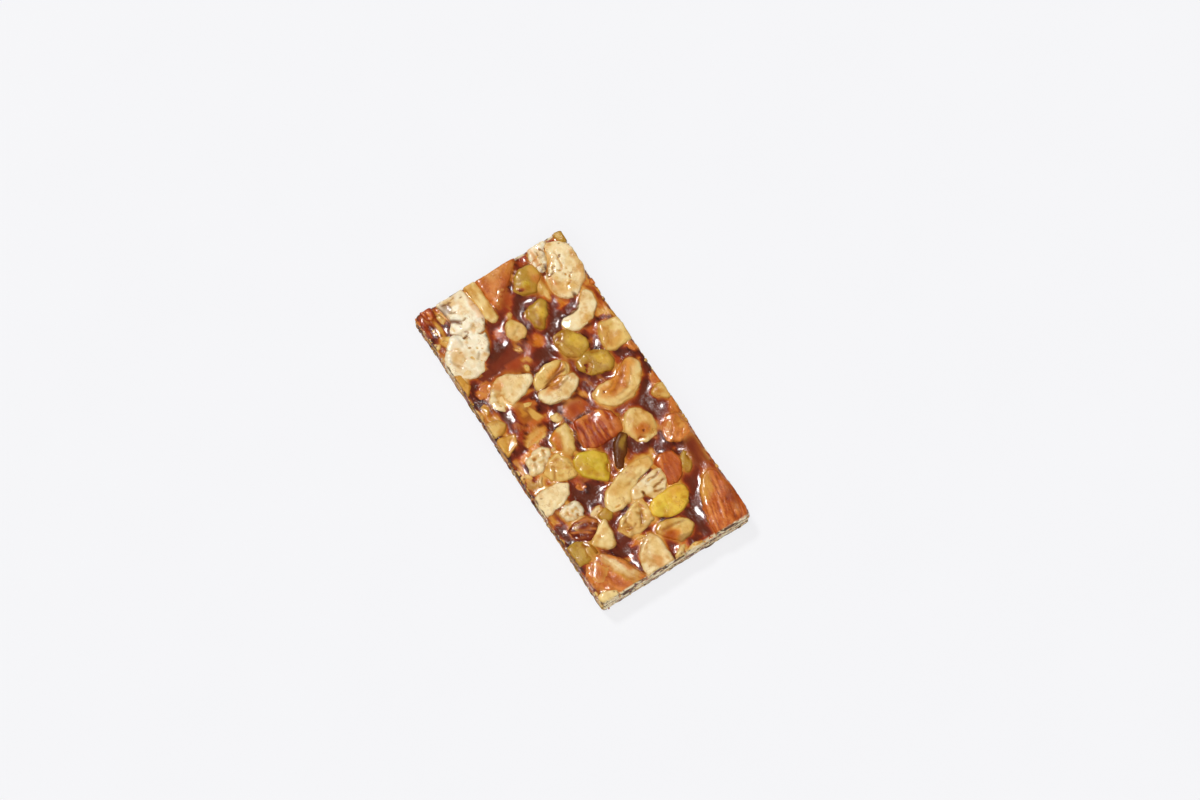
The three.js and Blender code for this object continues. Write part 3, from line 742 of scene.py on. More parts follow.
# Thin glaze that lies in a nut's hollows: middle x and y, half length, half width, heading, depth.
GLAZE = [
    (-3.4, 18.2, 7.5, 2.4, -58, 0.06), (-16.2, 1.5, 4.2, 1.3, -45, 0.22),
    (-13.6, -3.2, 3.4, 1.2, -80, 0.28), (4.3, -11.6, 5, 1.7, -12, 0.26), (50.6, 2.4, 3.6, 2.6, 40, 0.3),
    (54, -5.5, 4.2, 1.8, -20, 0.1), (15.6, 14.8, 2.6, 3.4, 20, 0.3), (-56, -8.6, 4, 1.4, -8, 0.22),
    (-34, -0.5, 1.4, 2, 40, 0.15), (11, 18, 4, 1, 0, 0.25), (7.5, 25, 3, 2, 0, 0.14),
    (2, 27.5, 3, 1.6, 0, 0.12), (-50, 16.4, 4, 0.8, 0, 0.2),
]


def blot(points, x, y, half_length, half_width, turn):
    """A soft round patch seen from above: 1 in the middle, falling to 0 past its edge."""
    along, across = along_and_across(points[:, :2] - (x, y), turn)
    reach = np.hypot(along / half_length, across / half_width)
    return 1 - ease(reach, 0.45, 1.25)


def crease(points, x1, y1, x2, y2, bow, width):
    """1 along a bowed line seen from above, fading out to its sides and its ends."""
    chord = np.array([x2 - x1, y2 - y1])
    length = np.linalg.norm(chord)
    along = chord / length
    across = np.array([-along[1], along[0]])
    offset = points[:, :2] - (x1, y1)
    share = offset @ along / length
    gap = np.abs(offset @ across - 4 * bow * share * (1 - share)) / width
    return (1 - ease(gap, 0.1, 1)) * ease(share, -0.1, 0.15) * (1 - ease(share, 0.85, 1.1))


def bent(points):
    """The points as they would lie if nothing on the bar had a smooth outline."""
    spots = points.copy()
    spots[:, :2] = points[:, :2] + 0.8 * sway(points, 72, 2.2) + 0.3 * sway(points, 74, 0.9)
    return spots


def folds(points):
    """How deep the nuts' folds and cracks are at each point, and how dark: partly caramel in them, partly
    painted shade.
    """
    depth, stain = np.zeros(len(points)), np.zeros(len(points))
    spots = points + 0.45 * (bent(points) - points)
    low, high = points.min(0) - 2, points.max(0) + 2
    for x1, y1, x2, y2, bow, width, deep, dark in CREASES:
        if low[0] < (x1 + x2) / 2 < high[0] and low[1] < (y1 + y2) / 2 < high[1]:
            share = crease(spots, x1, y1, x2, y2, bow, width) * (points[:, 2] > TOP_FROM)
            depth = np.maximum(depth, share * deep)
            stain = np.maximum(stain, share * dark)
    return depth, stain


def grain_ridges(points, turn, seed):
    """Wrinkles that run along a heading: 0 in a furrow, up to 1 on a ridge."""
    along, across = along_and_across(points[:, :2], turn)
    bow = with_lumps(0, points, (0.9, seed + 2, 11.0), (0.15, seed + 3, 3.0))
    spot = np.column_stack([along * 0.13, (across + bow) * 1.15, points[:, 2] * 0.55])
    wave = np.abs(Lumps(seed, 1.0)(spot)) * 1.6
    fine = np.abs(Lumps(seed + 1, 1.0)(spot * (1.4, 2.1, 1.8))) * 1.4
    return np.clip(0.7 * wave + 0.3 * fine, 0, 1)


def cracks(points, seed):
    """1 in the few fine cracks and pits of a crumbly nut."""
    line = 1 - ease(np.abs(Lumps(seed + 7, 2.6)(points)), 0.02, 0.12)
    pit = ease(Lumps(seed + 14, 1.1)(points), 0.66, 0.8)
    return np.maximum(line * ease(Lumps(seed + 15, 4.5)(points), 0.1, 0.4), pit)


def surface_relief(points, look, turn, seed):
    """How far a nut's surface stands out at each point, by the way it is broken."""
    relief = with_lumps(0, points, (0.26, seed, 4.2), (0.10, seed + 3, 1.9), (0.04, seed + 10, 0.9))
    if look == "crumbly":
        relief += with_lumps(0, points, (0.20, seed + 5, 2.4), (0.07, seed + 6, 0.9))
        relief -= 0.45 * cracks(points, seed)
    elif look == "crinkled":
        ridge = 1 - 2 * np.abs(Lumps(seed + 8, 2.4)(points))
        relief += 0.34 * ridge + 0.16 * Lumps(seed + 9, 0.9)(points)
    elif look == "wrinkled":
        relief += 0.15 * (grain_ridges(points, turn, seed) - 0.5)
    else:
        along, across = along_and_across(points[:, :2], turn)
        spot = np.column_stack([along * 0.1, across * 0.6, points[:, 2] * 0.4])
        relief += 0.07 * Lumps(seed + 4, 1.0)(spot)
    return relief


def cut_mask(points):
    """1 where a nut was cut through at a side of the bar or pressed flat underneath."""
    return 1 - ease(np.minimum(CUT_EDGE.depth(points), points[:, 2]), 0.15, 0.35)


def rim_distance(points, flat):
    """How far each flat-cut point is from the nut's own skin."""
    skin = np.flatnonzero(~flat)
    tree = KDTree(len(skin))
    for place, index in enumerate(skin):
        tree.insert(points[index], place)
    tree.balance()
    distance = np.zeros(len(points))
    for index in np.flatnonzero(flat):
        distance[index] = tree.find(points[index])[2]
    return distance


def shade_named(name):
    return np.array(getattr(bpy.context.scene.brittle_nuts, name))


def paint_nut(name, mesh, points, look, shade, turn, seed, cut):
    """Lays a nut's own colours on its points, with painted shade in its folds and in the furrows and foot
    of its cut faces. Chips have no name, and no touches or folds either.
    """
    colours = np.tile(shade_named(shade), (len(points), 1))
    if look == "wrinkled":
        ridge = grain_ridges(points, turn, seed)
        clear = 0.3 + 0.65 * ease(Lumps(seed + 13, 3.4)(points), -0.5, 0.5)  # the ridges fade in places
        blend(colours, ease(ridge, 0.25, 0.8) * clear, shade_named("tan") * 1.1)
        colours *= (1 - 0.5 * clear * (1 - ease(ridge, 0.0, 0.3)))[:, None]
    if look == "crumbly":
        colours *= 1 - np.outer(cracks(points, seed), (0.6, 0.8, 0.92))
    if look == "crinkled":
        furrow = np.abs(Lumps(seed + 8, 2.4)(points))
        colours *= (1 - 0.22 * ease(furrow, 0.4, 0.8))[:, None]
    spots = bent(points)
    # Touches of another shade, a few of them painted highlights.
    for *patch, patch_shade, strength in TOUCHES_AND_HIGHLIGHTS.get(name, ()):
        blend(colours, strength * blot(spots, *patch), shade_named(patch_shade))
    if name:
        # Folds and cracks darkened with umber: partly caramel in them, partly painted shade.
        blend(colours, folds(points)[1], shade_named("umber") * 0.8)
    flat = cut > 0.5
    if look == "wrinkled" and flat.any():
        blend(colours, ease(rim_distance(points, flat), 0.25, 0.45), shade_named("ivory"))
    # Cut faces painted dark in the furrows and at the foot: partly caramel, partly painted shade.
    seam_and_shade = ease(chatter_and_shade(points), 0.15, 0.6) * cut
    blend(colours, 0.94 * seam_and_shade, shade_named("maroon") * 0.3)
    colours *= (1 + 0.06 * Lumps(seed + 11, 4.0)(points))[:, None]
    put_colour(mesh, "shade", colours)
    put_number(mesh, "cut", cut)
    put_number(mesh, "ridge", (1 - seam_and_shade) * sawn_dry(points))


NEAR_CUT = 0.3  # points this near to a cut face, or to the tray, belong to it


def smooth_round(piece, steps):
    """Rounds a nut's corners, but leaves its cut faces where the knife left them."""
    before = points_of(piece.data)
    insets = CUT_EDGE.insets(before)
    soften = piece.modifiers.new("soften", "SMOOTH")
    soften.factor = 0.5
    soften.iterations = steps
    apply_all(piece)
    points = points_of(piece.data)
    for side, (axis, sign) in enumerate(CutEdge.SIDES):
        held = insets[:, side] < NEAR_CUT
        drift = CUT_EDGE.inset(points, side) - insets[:, side]
        points[held, axis] += sign * drift[held]
    low = before[:, 2] < NEAR_CUT
    points[low, 2] = before[low, 2]
    # Softening draws a nut in, so it is let out to its full size again.
    was, now = (np.array([p.min(0), p.max(0)]) for p in (before, points))
    return was[0] + (points - now[0]) * (was[1] - was[0]) / (now[1] - now[0])


# Whole nuts, whose round tops the roller pressed flat.
PLUMP = ("cashew_crescent", "cashew_large", "cashew_ring_left", "cashew_ring_right",
         "almond_ridged", "almond_under_glaze", "pistachio_sliver")
PLUMP_SHOULDER, SHOULDER = 3.2, 1.4  # 1 leaves a nut's top round, more makes it squarer
PLUMP_SWELL, SWELL = 0.15, 0.6  # how far the nuts close up on each other
CRUMBLY_SOFTENING, SOFTENING = 9, 14  # how many times a nut's corners are softened


def lift_shoulders(points, shoulder):
    """Fills out the upper half of a round nut, as a roller leaves it."""
    points = points.copy()
    top, middle = points[:, 2].max(), points[:, 2].mean()
    half = top - middle
    fall = np.clip((top - points[:, 2]) / half, 0, 1)
    upper = points[:, 2] > middle
    points[upper, 2] = (top - half * fall ** shoulder)[upper]
    return points


def jostle(points, cut):
    """Pushes the nuts' outlines a little out of true, neighbours alike."""
    push = sway(points, 31, 3.4) * 0.32 + sway(points, 33, 1.3) * 0.18
    points = points.copy()
    points[:, :2] += push * (1 - cut)[:, None]
    return points


def lower_top(points):
    """Brings a nut that would stand above the bar down to it, with its bumps left as they are."""
    over = max(points[:, 2].max() - BAR_TOP + 0.02, 0)
    points[:, 2] -= over * ease(points[:, 2], 5, 9.5)
    return points


def dress(piece, finish):
    """Gives a piece its finish and smooth shading."""
    piece.data.materials.clear()
    piece.data.materials.append(material(finish))
    alone(piece)
    bpy.ops.object.shade_smooth()


def make_nut(name):
    shade, turn = NUTS[name]
    kind = name.split("_")[0]
    look = "crumbly" if name in CRUMBLY else LOOKS[kind]
    plump = name in PLUMP
    seed = 100 * list(NUTS).index(name) + 7
    piece = bpy.data.objects.new(name + "_nut", frame["nodes"][name].data.copy())
    bpy.context.scene.collection.objects.link(piece)
    alone(piece)
    bpy.ops.object.mode_set(mode="EDIT")
    bpy.ops.mesh.select_all(action="SELECT")
    bpy.ops.mesh.remove_doubles(threshold=0.01 * MM)
    bpy.ops.object.mode_set(mode="OBJECT")
    even = piece.modifiers.new("even", "REMESH")
    even.mode = "VOXEL"
    even.voxel_size = bpy.context.scene.brittle_nuts.grain
    apply_all(piece)
    points = smooth_round(piece, CRUMBLY_SOFTENING if look == "crumbly" else SOFTENING)
    points = lift_shoulders(points, PLUMP_SHOULDER if plump else SHOULDER)
    put_points(piece.data, points)
    cut = cut_mask(points)
    normals = normals_of(piece.data)
    swell = PLUMP_SWELL if plump else SWELL
    relief = (swell + surface_relief(points, look, turn, seed)) * (1 - cut)
    dents = 0.16 * chatter_and_shade(points) + 0.15 * np.abs(Lumps(seed + 12, 2.2)(points))
    dents += 0.15 * np.abs(Lumps(seed + 13, 0.8)(points))
    points = points + normals * (relief - dents * cut)[:, None]
    points = lower_top(jostle(points, cut))
    points[:, 2] -= folds(points)[0]
    points = CUT_EDGE.keep_inside(points)
    put_points(piece.data, points)
    paint_nut(name, piece.data, points, look, shade, turn, seed, cut)
    dress(piece, kind)
    piece["brittle_solid"] = True
    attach(piece, "root")
    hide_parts(name)


def make_nuts(kind):
    for name in NUTS:
        if name.startswith(kind):
            make_nut(name)


# ------------------------------------------------------------------ chips

# Small pieces of nut that lie on the bar: kind, middle x and y, top, half length, half width,
# heading and shade.
BITS = [
    ("cashew", 57, 18.2, 10.7, 1.7, 1.5, 0, "ivory"), ("cashew", 56.2, 2.2, 10.5, 3.2, 1.2, -58, "cream"),
    ("cashew", 30, -13.2, 10.4, 2.9, 1.5, -68, "ivory"),
    ("cashew", -3.6, -7.4, 10.3, 2.4, 1.9, 40, "cream"),
    ("cashew", -43.4, 12.3, 10.2, 3.3, 1.6, -8, "straw"),
    ("cashew", -30.2, -5.4, 10, 2.2, 1.5, 35, "straw"), ("cashew", -23, -6.3, 10, 1.8, 1, 5, "straw"),
    ("cashew", -41.3, -1.6, 10, 1.5, 1.3, 0, "straw"),
    ("cashew", -52.6, -21.2, 10.4, 2.4, 1.3, 10, "cream"),
    ("cashew", -45.6, -23.6, 10.3, 2, 1.4, 60, "straw"),
    ("cashew", -49.4, -25.6, 10, 1.8, 1.2, 20, "straw"),
    ("cashew", -12.4, -13.4, 10.1, 2.6, 2, 70, "straw"), ("cashew", 45.4, -6.2, 9.9, 3, 1.4, 75, "straw"),
    ("cashew", -18, -25.6, 10.1, 2.8, 1.4, -10, "honey"),
    ("cashew", 33.6, -6.6, 10, 1.9, 1.2, 60, "straw"),
    ("walnut", 12.6, -23.2, 10.4, 2.6, 1.6, -35, "biscuit"),
    ("walnut", 9, -25.6, 10.2, 1.9, 1.2, 15, "biscuit"),
    ("walnut", 5.6, -13.9, 10.3, 1.6, 1.2, 40, "biscuit"),
    ("pistachio", 12, -26.4, 10, 2.6, 1.3, 15, "olive"),
    ("pistachio", 33.4, -10.4, 10, 2.6, 1.6, -60, "olive"),
    ("almond", -55.6, 23.8, 10.3, 2.4, 1.5, 80, "brick"),
    ("almond", -11.6, 26.6, 10.1, 3.4, 1.6, 0, "tan"), ("almond", 13.6, 27, 10.2, 4.2, 1.7, -4, "tan"),
    ("almond", -52, -27.2, 10, 4.6, 1.4, 0, "brick"), ("almond", 20.6, -13.2, 9.9, 2.6, 1.9, 50, "tan"),
    ("almond", -45.6, 1, 10, 2.4, 3.4, 60, "brick"), ("almond", 55.6, 24.8, 10.5, 2, 2.6, 20, "tan"),
]

CHIP_KINDS = (("cashew", 0.55), ("almond", 0.75), ("pistachio", 0.87), ("walnut", 1.0))
CHIP_SHADES = {
    "cashew": ("ivory", "cream", "cream", "straw"),
    "almond": ("russet", "brick", "tan"),
    "pistachio": ("olive", "leaf", "olive"),
    "walnut": ("biscuit", "biscuit", "tan"),
}


CHIP_HALF_HEIGHT = 1.3
LUMP_FACES = 7  # how many flattish faces a broken lump has
# How many places are tried for a chip: for each millimetre of a side, and underneath.
SIDE_TRIES_PER_MM = 13
UNDER_TRIES = 900


def pattern_ball(cuts):
    """The ball that every chip and crumb of one fineness is shaped from."""
    bpy.ops.object.select_all(action="DESELECT")
    bpy.ops.mesh.primitive_ico_sphere_add(subdivisions=cuts, radius=MM)
    ball = bpy.context.object
    ball.name = ball.data.name = f"pattern_ball_{cuts}"
    return ball


def turned(points, spin, tilt, roll):
    for angle, (a, b) in ((roll, (1, 2)), (tilt, (0, 2)), (spin, (0, 1))):
        c, s = math.cos(angle), math.sin(angle)
        u, v = points[:, a].copy(), points[:, b].copy()
        points[:, a], points[:, b] = c * u - s * v, s * u + c * v
    return points


def knobbly(ball, halves, seed, rough=0.16):
    """The ball's points as a broken lump with flattish faces, of the half sizes given."""
    points = points_of(ball.data)
    rng = np.random.default_rng(seed)
    for _ in range(LUMP_FACES):
        face = rng.normal(size=3)
        face /= np.linalg.norm(face)
        over = np.maximum(points @ face - rng.uniform(0.62, 0.86), 0)
        points -= np.outer(over * 0.85, face)
    points *= 1 + rough * Lumps(seed, 0.7)(points)[:, None]
    return points / np.abs(points).max(0) * halves


def shaped_copy(ball, points):
    """A copy of the ball with its points where they are wanted, and inside the bar."""
    copy = ball.copy()
    copy.data = ball.data.copy()
    bpy.context.scene.collection.objects.link(copy)
    put_points(copy.data, CUT_EDGE.keep_inside(points))
    return copy


def place_chip(ball, points, kind, shade, turn, seed):
    """One shaped copy of the ball, painted as a nut of its kind."""
    look = {"almond": "wrinkled", "walnut": "crinkled"}.get(kind, "crumbly")
    points = CUT_EDGE.keep_inside(points + 0.10 * Lumps(seed + 2, 0.9)(points)[:, None])
    chip = shaped_copy(ball, points)
    paint_nut("", chip.data, points, look, shade, turn, seed, cut_mask(points))
    return chip


def join_pieces(parts, name, finish):
    """Joins parts into one piece that rides on the bar."""
    bpy.ops.object.select_all(action="DESELECT")
    for part in parts:
        part.select_set(True)
    piece = parts[0]
    bpy.context.view_layer.objects.active = piece
    bpy.ops.object.join()
    piece.name = piece.data.name = name
    dress(piece, finish)
    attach(piece, "root")
    return piece


def side_tries(per_mm):
    """The side that each try is made at, with so many tries for every millimetre of it."""
    counts = [int(2 * BAR_HIGH[1 - axis] * per_mm) for axis, _ in CutEdge.SIDES]
    return np.repeat(range(len(counts)), counts).tolist()


def spot_at_side(rng, side, margin, low, high, scale=1.0):
    """A random spot on the ground, inside one side by between low and high times the scale."""
    axis, sign = CutEdge.SIDES[side]
    half = BAR_HIGH[1 - axis]
    spot = np.zeros(3)
    spot[1 - axis] = rng.uniform(margin - half, half - margin)
    spot[axis] = sign * (CUT_EDGE.reach(side, spot[1 - axis]) - rng.uniform(low, high) * scale)
    return spot


def has_room(spot, size, tree, places, clearance, spacing):
    """Whether a chip is clear of the nuts and of the chips placed before it."""
    if tree.find_nearest(spot.tolist())[3] <= clearance * size:
        return False
    return all(np.linalg.norm(spot - other) >= spacing * (size + radius) for other, radius in places)


def side_chips(rng, tree):
    """Places for chips along the four cut sides, between the nuts that are cut there."""
    places = []
    for side in side_tries(SIDE_TRIES_PER_MM):
        size = rng.uniform(0.8, 2.3)
        spot = spot_at_side(rng, side, 1, -0.1, 0.45, size)
        spot[2] = rng.uniform(1.4, 9.0)
        if has_room(spot, size, tree, places, clearance=0.75, spacing=0.82):
            places.append((spot, size))
    return places


def under_chips(rng, tree):
    """Places for chips pressed flat against the tray."""
    places = []
    for _ in range(UNDER_TRIES):
        size = rng.uniform(1.3, 3.0)
        spot = np.array([rng.uniform(-53.5, 53.5), rng.uniform(-24, 24), rng.uniform(0.1, 0.5)])
        if has_room(spot, size, tree, places, clearance=0.8, spacing=0.9):
            places.append((spot, size))
    return places


def make_chips():
    bed = Bed()
    rng = np.random.default_rng(81)
    fine, coarse = pattern_ball(4), pattern_ball(3)
    parts = {kind: [] for kind, _ in CHIP_KINDS}
    for index, (kind, x, y, top, half_length, half_width, turn, shade) in enumerate(BITS):
        points = knobbly(fine, (half_length, half_width, CHIP_HALF_HEIGHT), 900 + index)
        points = turned(points, math.radians(turn), 0, 0) + (x, y, top - CHIP_HALF_HEIGHT)
        parts[kind].append(place_chip(fine, points, kind, shade, turn, 900 + index))
    sides = [(fine, *place) for place in side_chips(rng, bed.tree)]
    under = [(coarse, *place) for place in under_chips(rng, bed.tree)]
    for index, (ball, spot, size) in enumerate(sides + under):
        draw = rng.random()
        kind = next(name for name, share in CHIP_KINDS if draw < share)
        shades = CHIP_SHADES[kind]
        halves = size * np.array([1, rng.uniform(0.6, 1), rng.uniform(0.5, 0.85)])
        if ball is coarse:
            halves[2] = rng.uniform(0.7, 1.2)
        points = knobbly(ball, halves, 1000 + index)
        lean = 0.6 if ball is fine else 0.1
        points = turned(points, rng.uniform(0, 6.3), rng.uniform(-lean, lean), rng.uniform(-lean, lean))
        shade = shades[rng.integers(len(shades))]
        turn = rng.uniform(0, 180)
        parts[kind].append(place_chip(ball, points + spot, kind, shade, turn, 1000 + index))
    for kind, chips in parts.items():
        piece = join_pieces(chips, f"chips_{kind}", kind)
        piece["brittle_solid"] = True
    for ball in (fine, coarse):
        bpy.data.objects.remove(ball)


# ------------------------------------------------------------------ caramel


class Sheet:
    """A map of heights or colours over the bar, seen from above."""

    PITCH = 0.3

    def __init__(self):
        self.xs = np.arange(BAR_LOW[0], BAR_HIGH[0] + self.PITCH, self.PITCH)
        self.ys = np.arange(BAR_LOW[1], BAR_HIGH[1] + self.PITCH, self.PITCH)
        x, y = np.meshgrid(self.xs, self.ys, indexing="ij")
        self.spots = np.column_stack([x.ravel(), y.ravel(), np.zeros(x.size)])
        self.shape = x.shape

    def blur(self, values, size):
        """Averages a map over about size mm."""
        reach = int(3 * size / self.PITCH) + 1
        steps = np.arange(-reach, reach + 1) * self.PITCH
        kernel = np.exp(-0.5 * (steps / size) ** 2)
        kernel /= kernel.sum()
        table = np.pad(values.reshape(self.shape), reach, mode="edge")
        table = np.apply_along_axis(np.convolve, 0, table, kernel, "valid")
        table = np.apply_along_axis(np.convolve, 1, table, kernel, "valid")
        return table.ravel()

    def read(self, values, points):
        """The map's value at each point."""
        table = values.reshape(self.shape)
        u = np.clip((points[:, 0] - self.xs[0]) / self.PITCH, 0, self.shape[0] - 1.001)
        v = np.clip((points[:, 1] - self.ys[0]) / self.PITCH, 0, self.shape[1] - 1.001)
        i, j = u.astype(int), v.astype(int)
        s, t = u - i, v - j
        near = table[i, j] * (1 - t) + table[i, j + 1] * t
        far = table[i + 1, j] * (1 - t) + table[i + 1, j + 1] * t
        return near * (1 - s) + far * s


def solid_pieces():
    """The nuts and chips, which the caramel lies on."""
    return [piece for piece in bpy.context.scene.objects if piece.get("brittle_solid")]


class Bed:
    """All the nuts together, to be asked what lies under a point of the caramel."""

    def __init__(self):
        self.pieces = solid_pieces()
        points, faces, shades, start = [], [], [], 0
        for piece in self.pieces:
            points.append(points_of(piece.data))
            shades.append(colour_of(piece.data, "shade"))
            faces += (faces_of(piece.data) + start).tolist()
            start += len(points[-1])
        self.shades = np.concatenate(shades)
        self.first_corner = np.array([face[0] for face in faces])
        self.tree = BVHTree.FromPolygons(np.concatenate(points).tolist(), faces)

    def look(self, starts, aims, reach):
        """Distance to the nut that each ray meets, or reach, and that nut's shade there."""
        distance = np.full(len(starts), float(reach))
        shade = np.tile(shade_named("straw"), (len(starts), 1))
        cast = self.tree.ray_cast
        for k, (start, aim) in enumerate(zip(starts.tolist(), aims.tolist())):
            _, _, face, gap = cast(start, aim, reach)
            if face is not None:
                distance[k] = gap
                shade[k] = self.shades[self.first_corner[face]]
        return distance, shade

    def gap(self, points):
        """How far each point is from the nearest nut."""
        return np.array([self.tree.find_nearest(point)[3] for point in points.tolist()])


def softness(points):
    """1 where a nut's edge is lost under the caramel, 0 where it shows sharp."""
    return ease(with_lumps(0, points, (1, 66, 5.5), (0.4, 67, 2.2)), -0.25, 0.35)


# Where the caramel ran over the nuts: middle x and y, half length, half width, heading, how thick.
POOLS = [
    (-29.6, -9.6, 11, 4.4, -88, 0.12), (-31, -24, 3, 2, 0, 0.1), (-22, 7, 7, 2, 12, 0.22),
    (-11.6, 9.8, 2.8, 2.2, -30, 0.22), (-48, 3, 5.6, 2.6, 60, 0.25), (-43, 13, 4, 2.2, -8, 0.22),
    (-45.6, -1.6, 2.4, 5, 30, 0.3), (19, 19.4, 5.6, 3.6, -50, 0.16), (30, 24.8, 8, 3.4, -4, 0.3),
    (22.6, 6, 2.6, 4.6, 14, 0.25), (-10, -14, 4.6, 5, 20, 0.06), (-4, -14.6, 3, 5.6, 10, 0.14),
    (32.6, -20.6, 4.4, 2.6, 75, 0.12), (49, 14.6, 6, 2.4, 4, 0.2), (48.4, -24, 5.4, 3, -30, 0.12),
    (51, -12, 6, 1.8, 8, 0.18), (-26, 0.4, 4.6, 4.6, 0, 0.3), (-14.6, -19.6, 6, 2, -6, 0.25),
    (-50, -25.2, 7, 2.4, 4, 0.14), (41.6, -22.6, 4, 2.2, 10, 0.16), (12, 22.4, 4.6, 3.6, -30, 0.25),
    (-42.6, 6, 1.8, 2.6, -10, 0.1), (-24, 18.6, 3.6, 3.4, 10, 0.3), (9, -12, 5, 1.8, -8, 0.12),
]


def caramel_heights(sheet, bed):
    """How high the caramel stands over the whole bar, and where the nuts stand bare of it; the nuts' tops
    move with its slumps.
    """
    settings = bpy.context.scene.brittle_caramel
    sky = BAR_TOP + 5
    starts = sheet.spots + (0, 0, sky)
    aims = np.tile([0.0, 0.0, -1.0], (len(starts), 1))
    fall, _ = bed.look(starts, aims, sky)
    nut_top = sky - fall
    level = settings.level / MM
    pool = level + 0.16 * Lumps(41, 9.0)(sheet.spots)
    covered = sheet.blur((nut_top > level - 1).astype(float), 1.2)
    pool -= 0.45 * (1 - ease(covered, 0.0, 0.75))
    stand = with_lumps(settings.film / MM, sheet.spots, (0.34, 42, 4.4), (0.22, 45, 1.7))
    height = sheet.blur(np.maximum(pool, nut_top - stand), 0.6)
    height += with_lumps(0, sheet.spots, (0.12, 43, 2.3), (0.07, 44, 1.0))
    cover = sheet.blur(np.maximum(pool, nut_top), 0.7)
    spots = bent(sheet.spots)
    for *patch, over in POOLS:
        height += blot(spots, *patch) * np.maximum(cover + over - height, 0)
    height = np.minimum(height, BAR_TOP - 0.03)
    moved = slump(sheet, np.maximum(height, nut_top))
    move_tops(sheet, moved)
    bare = sheet.blur((nut_top > height).astype(float), 0.55)
    return np.minimum(height + moved, BAR_TOP - 0.02), bare


# Where the caramel slumped into a smooth slope: middle x and y, half length, half width, heading.
SLUMPS = [
    (-33.6, 17.4, 0.5, 0.9, 20), (-34.6, 11.6, 1.8, 0.6, -35), (-31, 9.4, 1.6, 0.5, -35),
    (-39, 14.2, 3.4, 1, -8), (-42.6, 6, 1.6, 2.2, -10), (-47.5, 2.4, 1, 0.8, 0), (-36, 1.6, 3.2, 0.6, 8),
    (-28.6, 12.2, 1.4, 1.2, 0), (-25.2, 25.8, 0.9, 1.2, 0), (-17, 16.8, 2.2, 0.9, -55),
    (-12, 22.3, 2, 0.5, 85), (-9.6, 7.8, 3.2, 0.9, -50), (-24, 5, 2.4, 1.1, 15), (8.6, 21, 1.5, 0.8, -10),
    (11.4, 23.6, 1.3, 0.8, 40), (6.3, 13.4, 2.4, 0.6, 85), (18.6, 11.5, 1.6, 1, 60),
    (18.4, 21, 5, 2.4, -50), (21.6, 18.8, 3.4, 2, -35), (31.4, 22.4, 1.4, 0.7, 0),
    (3.4, 3.6, 2.6, 1.2, 50), (-3.7, -4, 1.6, 0.6, 80), (4.4, -5.8, 2.2, 0.7, -15),
    (14.4, 2.4, 2, 0.7, -60), (20.8, -1.4, 2.2, 1.2, -35), (24.2, -8, 1.5, 1, 20),
    (22.2, -12.8, 1.2, 0.9, 20), (33.6, -6, 1.3, 0.5, 80), (37.2, -11, 0.7, 0.7, 0),
    (48.6, 14.6, 4.6, 1.6, 5), (46.8, 11.8, 0.7, 0.7, 0), (55.5, 6.6, 0.8, 0.8, 0),
    (53.4, 3.6, 1.3, 0.6, 75), (50.6, -11.8, 4.6, 1.3, 10), (41.4, -11.4, 1.4, 1.2, 0),
    (33.2, -16.4, 1, 0.5, 75), (38, -22, 1.8, 0.8, 25), (35, -24.2, 1, 1, 0), (31, -25.6, 1.8, 0.6, 5),
    (22.6, -22.6, 2.2, 0.6, -70), (-13, -19.8, 5.6, 2, -4), (-16.4, -22.2, 2.4, 1.2, 0),
    (-18, -26.4, 3, 0.6, 0), (-3.2, -24.2, 3.2, 1.5, -60), (2.9, -20, 3, 0.6, -85),
    (-33.8, -8, 1.4, 1.6, -40), (-47, -4.6, 0.9, 0.6, 0), (-50, -25.4, 3.6, 1.2, 8),
    (-54.2, -24.4, 2.4, 0.4, 4), (-48, -21.2, 1.6, 0.8, 0), (-55.4, -27.4, 2, 0.6, 0),
    (-54.4, -17.2, 1, 1.4, 0), (54, -24.4, 1.6, 1, 40), (45.4, -8.8, 0.7, 1.6, 0),
]
# Where it lay level: middle x and y, half length, half width and heading.
LEVEL_SPOTS = [
    (-30.6, -12, 3.2, 6.4, 8), (41, 24, 4.6, 2, -24), (-53, 0, 2.4, 3.4, 0), (0.4, -18, 2, 5, 8),
    (-20.6, -25.2, 1.8, 1.4, 0), (-23.2, -22.6, 1.8, 1.7, 0), (-32.4, 14.6, 0.9, 1.4, 20),
    (-27, 6.4, 1.8, 1, 20), (-38.6, 2.6, 1, 0.6, 30),
]
# Where its skin set smooth and clear: middle x and y, half length, half width and heading.
CLEAR_SPOTS = [
    (-28.6, -10.4, 5, 10, 6), (-3.2, 0.2, 3.2, 4.4, 0), (31, 25.8, 6.6, 2.6, -4),
    (-22.6, -23.4, 2.6, 3, 0), (-10, -14.6, 4.4, 4, 20), (-53, 0, 4, 5, 0), (-45.6, -1, 3, 4.6, 30),
    (40, 20, 5, 2.6, -30),
]
SLUMP_FACING = heading(228)  # the way these slopes face
SLUMP_RISE = 0.20  # rise over run


def slump(sheet, top):
    """How much each spot of the bar's top moves where it slumped."""
    smooth = sheet.blur(top, 0.8)
    moved = np.zeros(len(sheet.spots))
    spots = bent(sheet.spots)
    places = [(*spot, 0.0) for spot in LEVEL_SPOTS] + [(*spot, SLUMP_RISE) for spot in SLUMPS]
    for x, y, half_length, half_width, turn, rise in places:
        share = blot(spots, x, y, half_length * 1.5, half_width * 1.6, turn)
        offset = (sheet.spots[:, :2] - (x, y)) @ SLUMP_FACING
        plane = sheet.read(smooth, np.array([[x, y, 0.0]]))[0] - rise * offset
        moved += share * (plane - top - moved)
    return moved


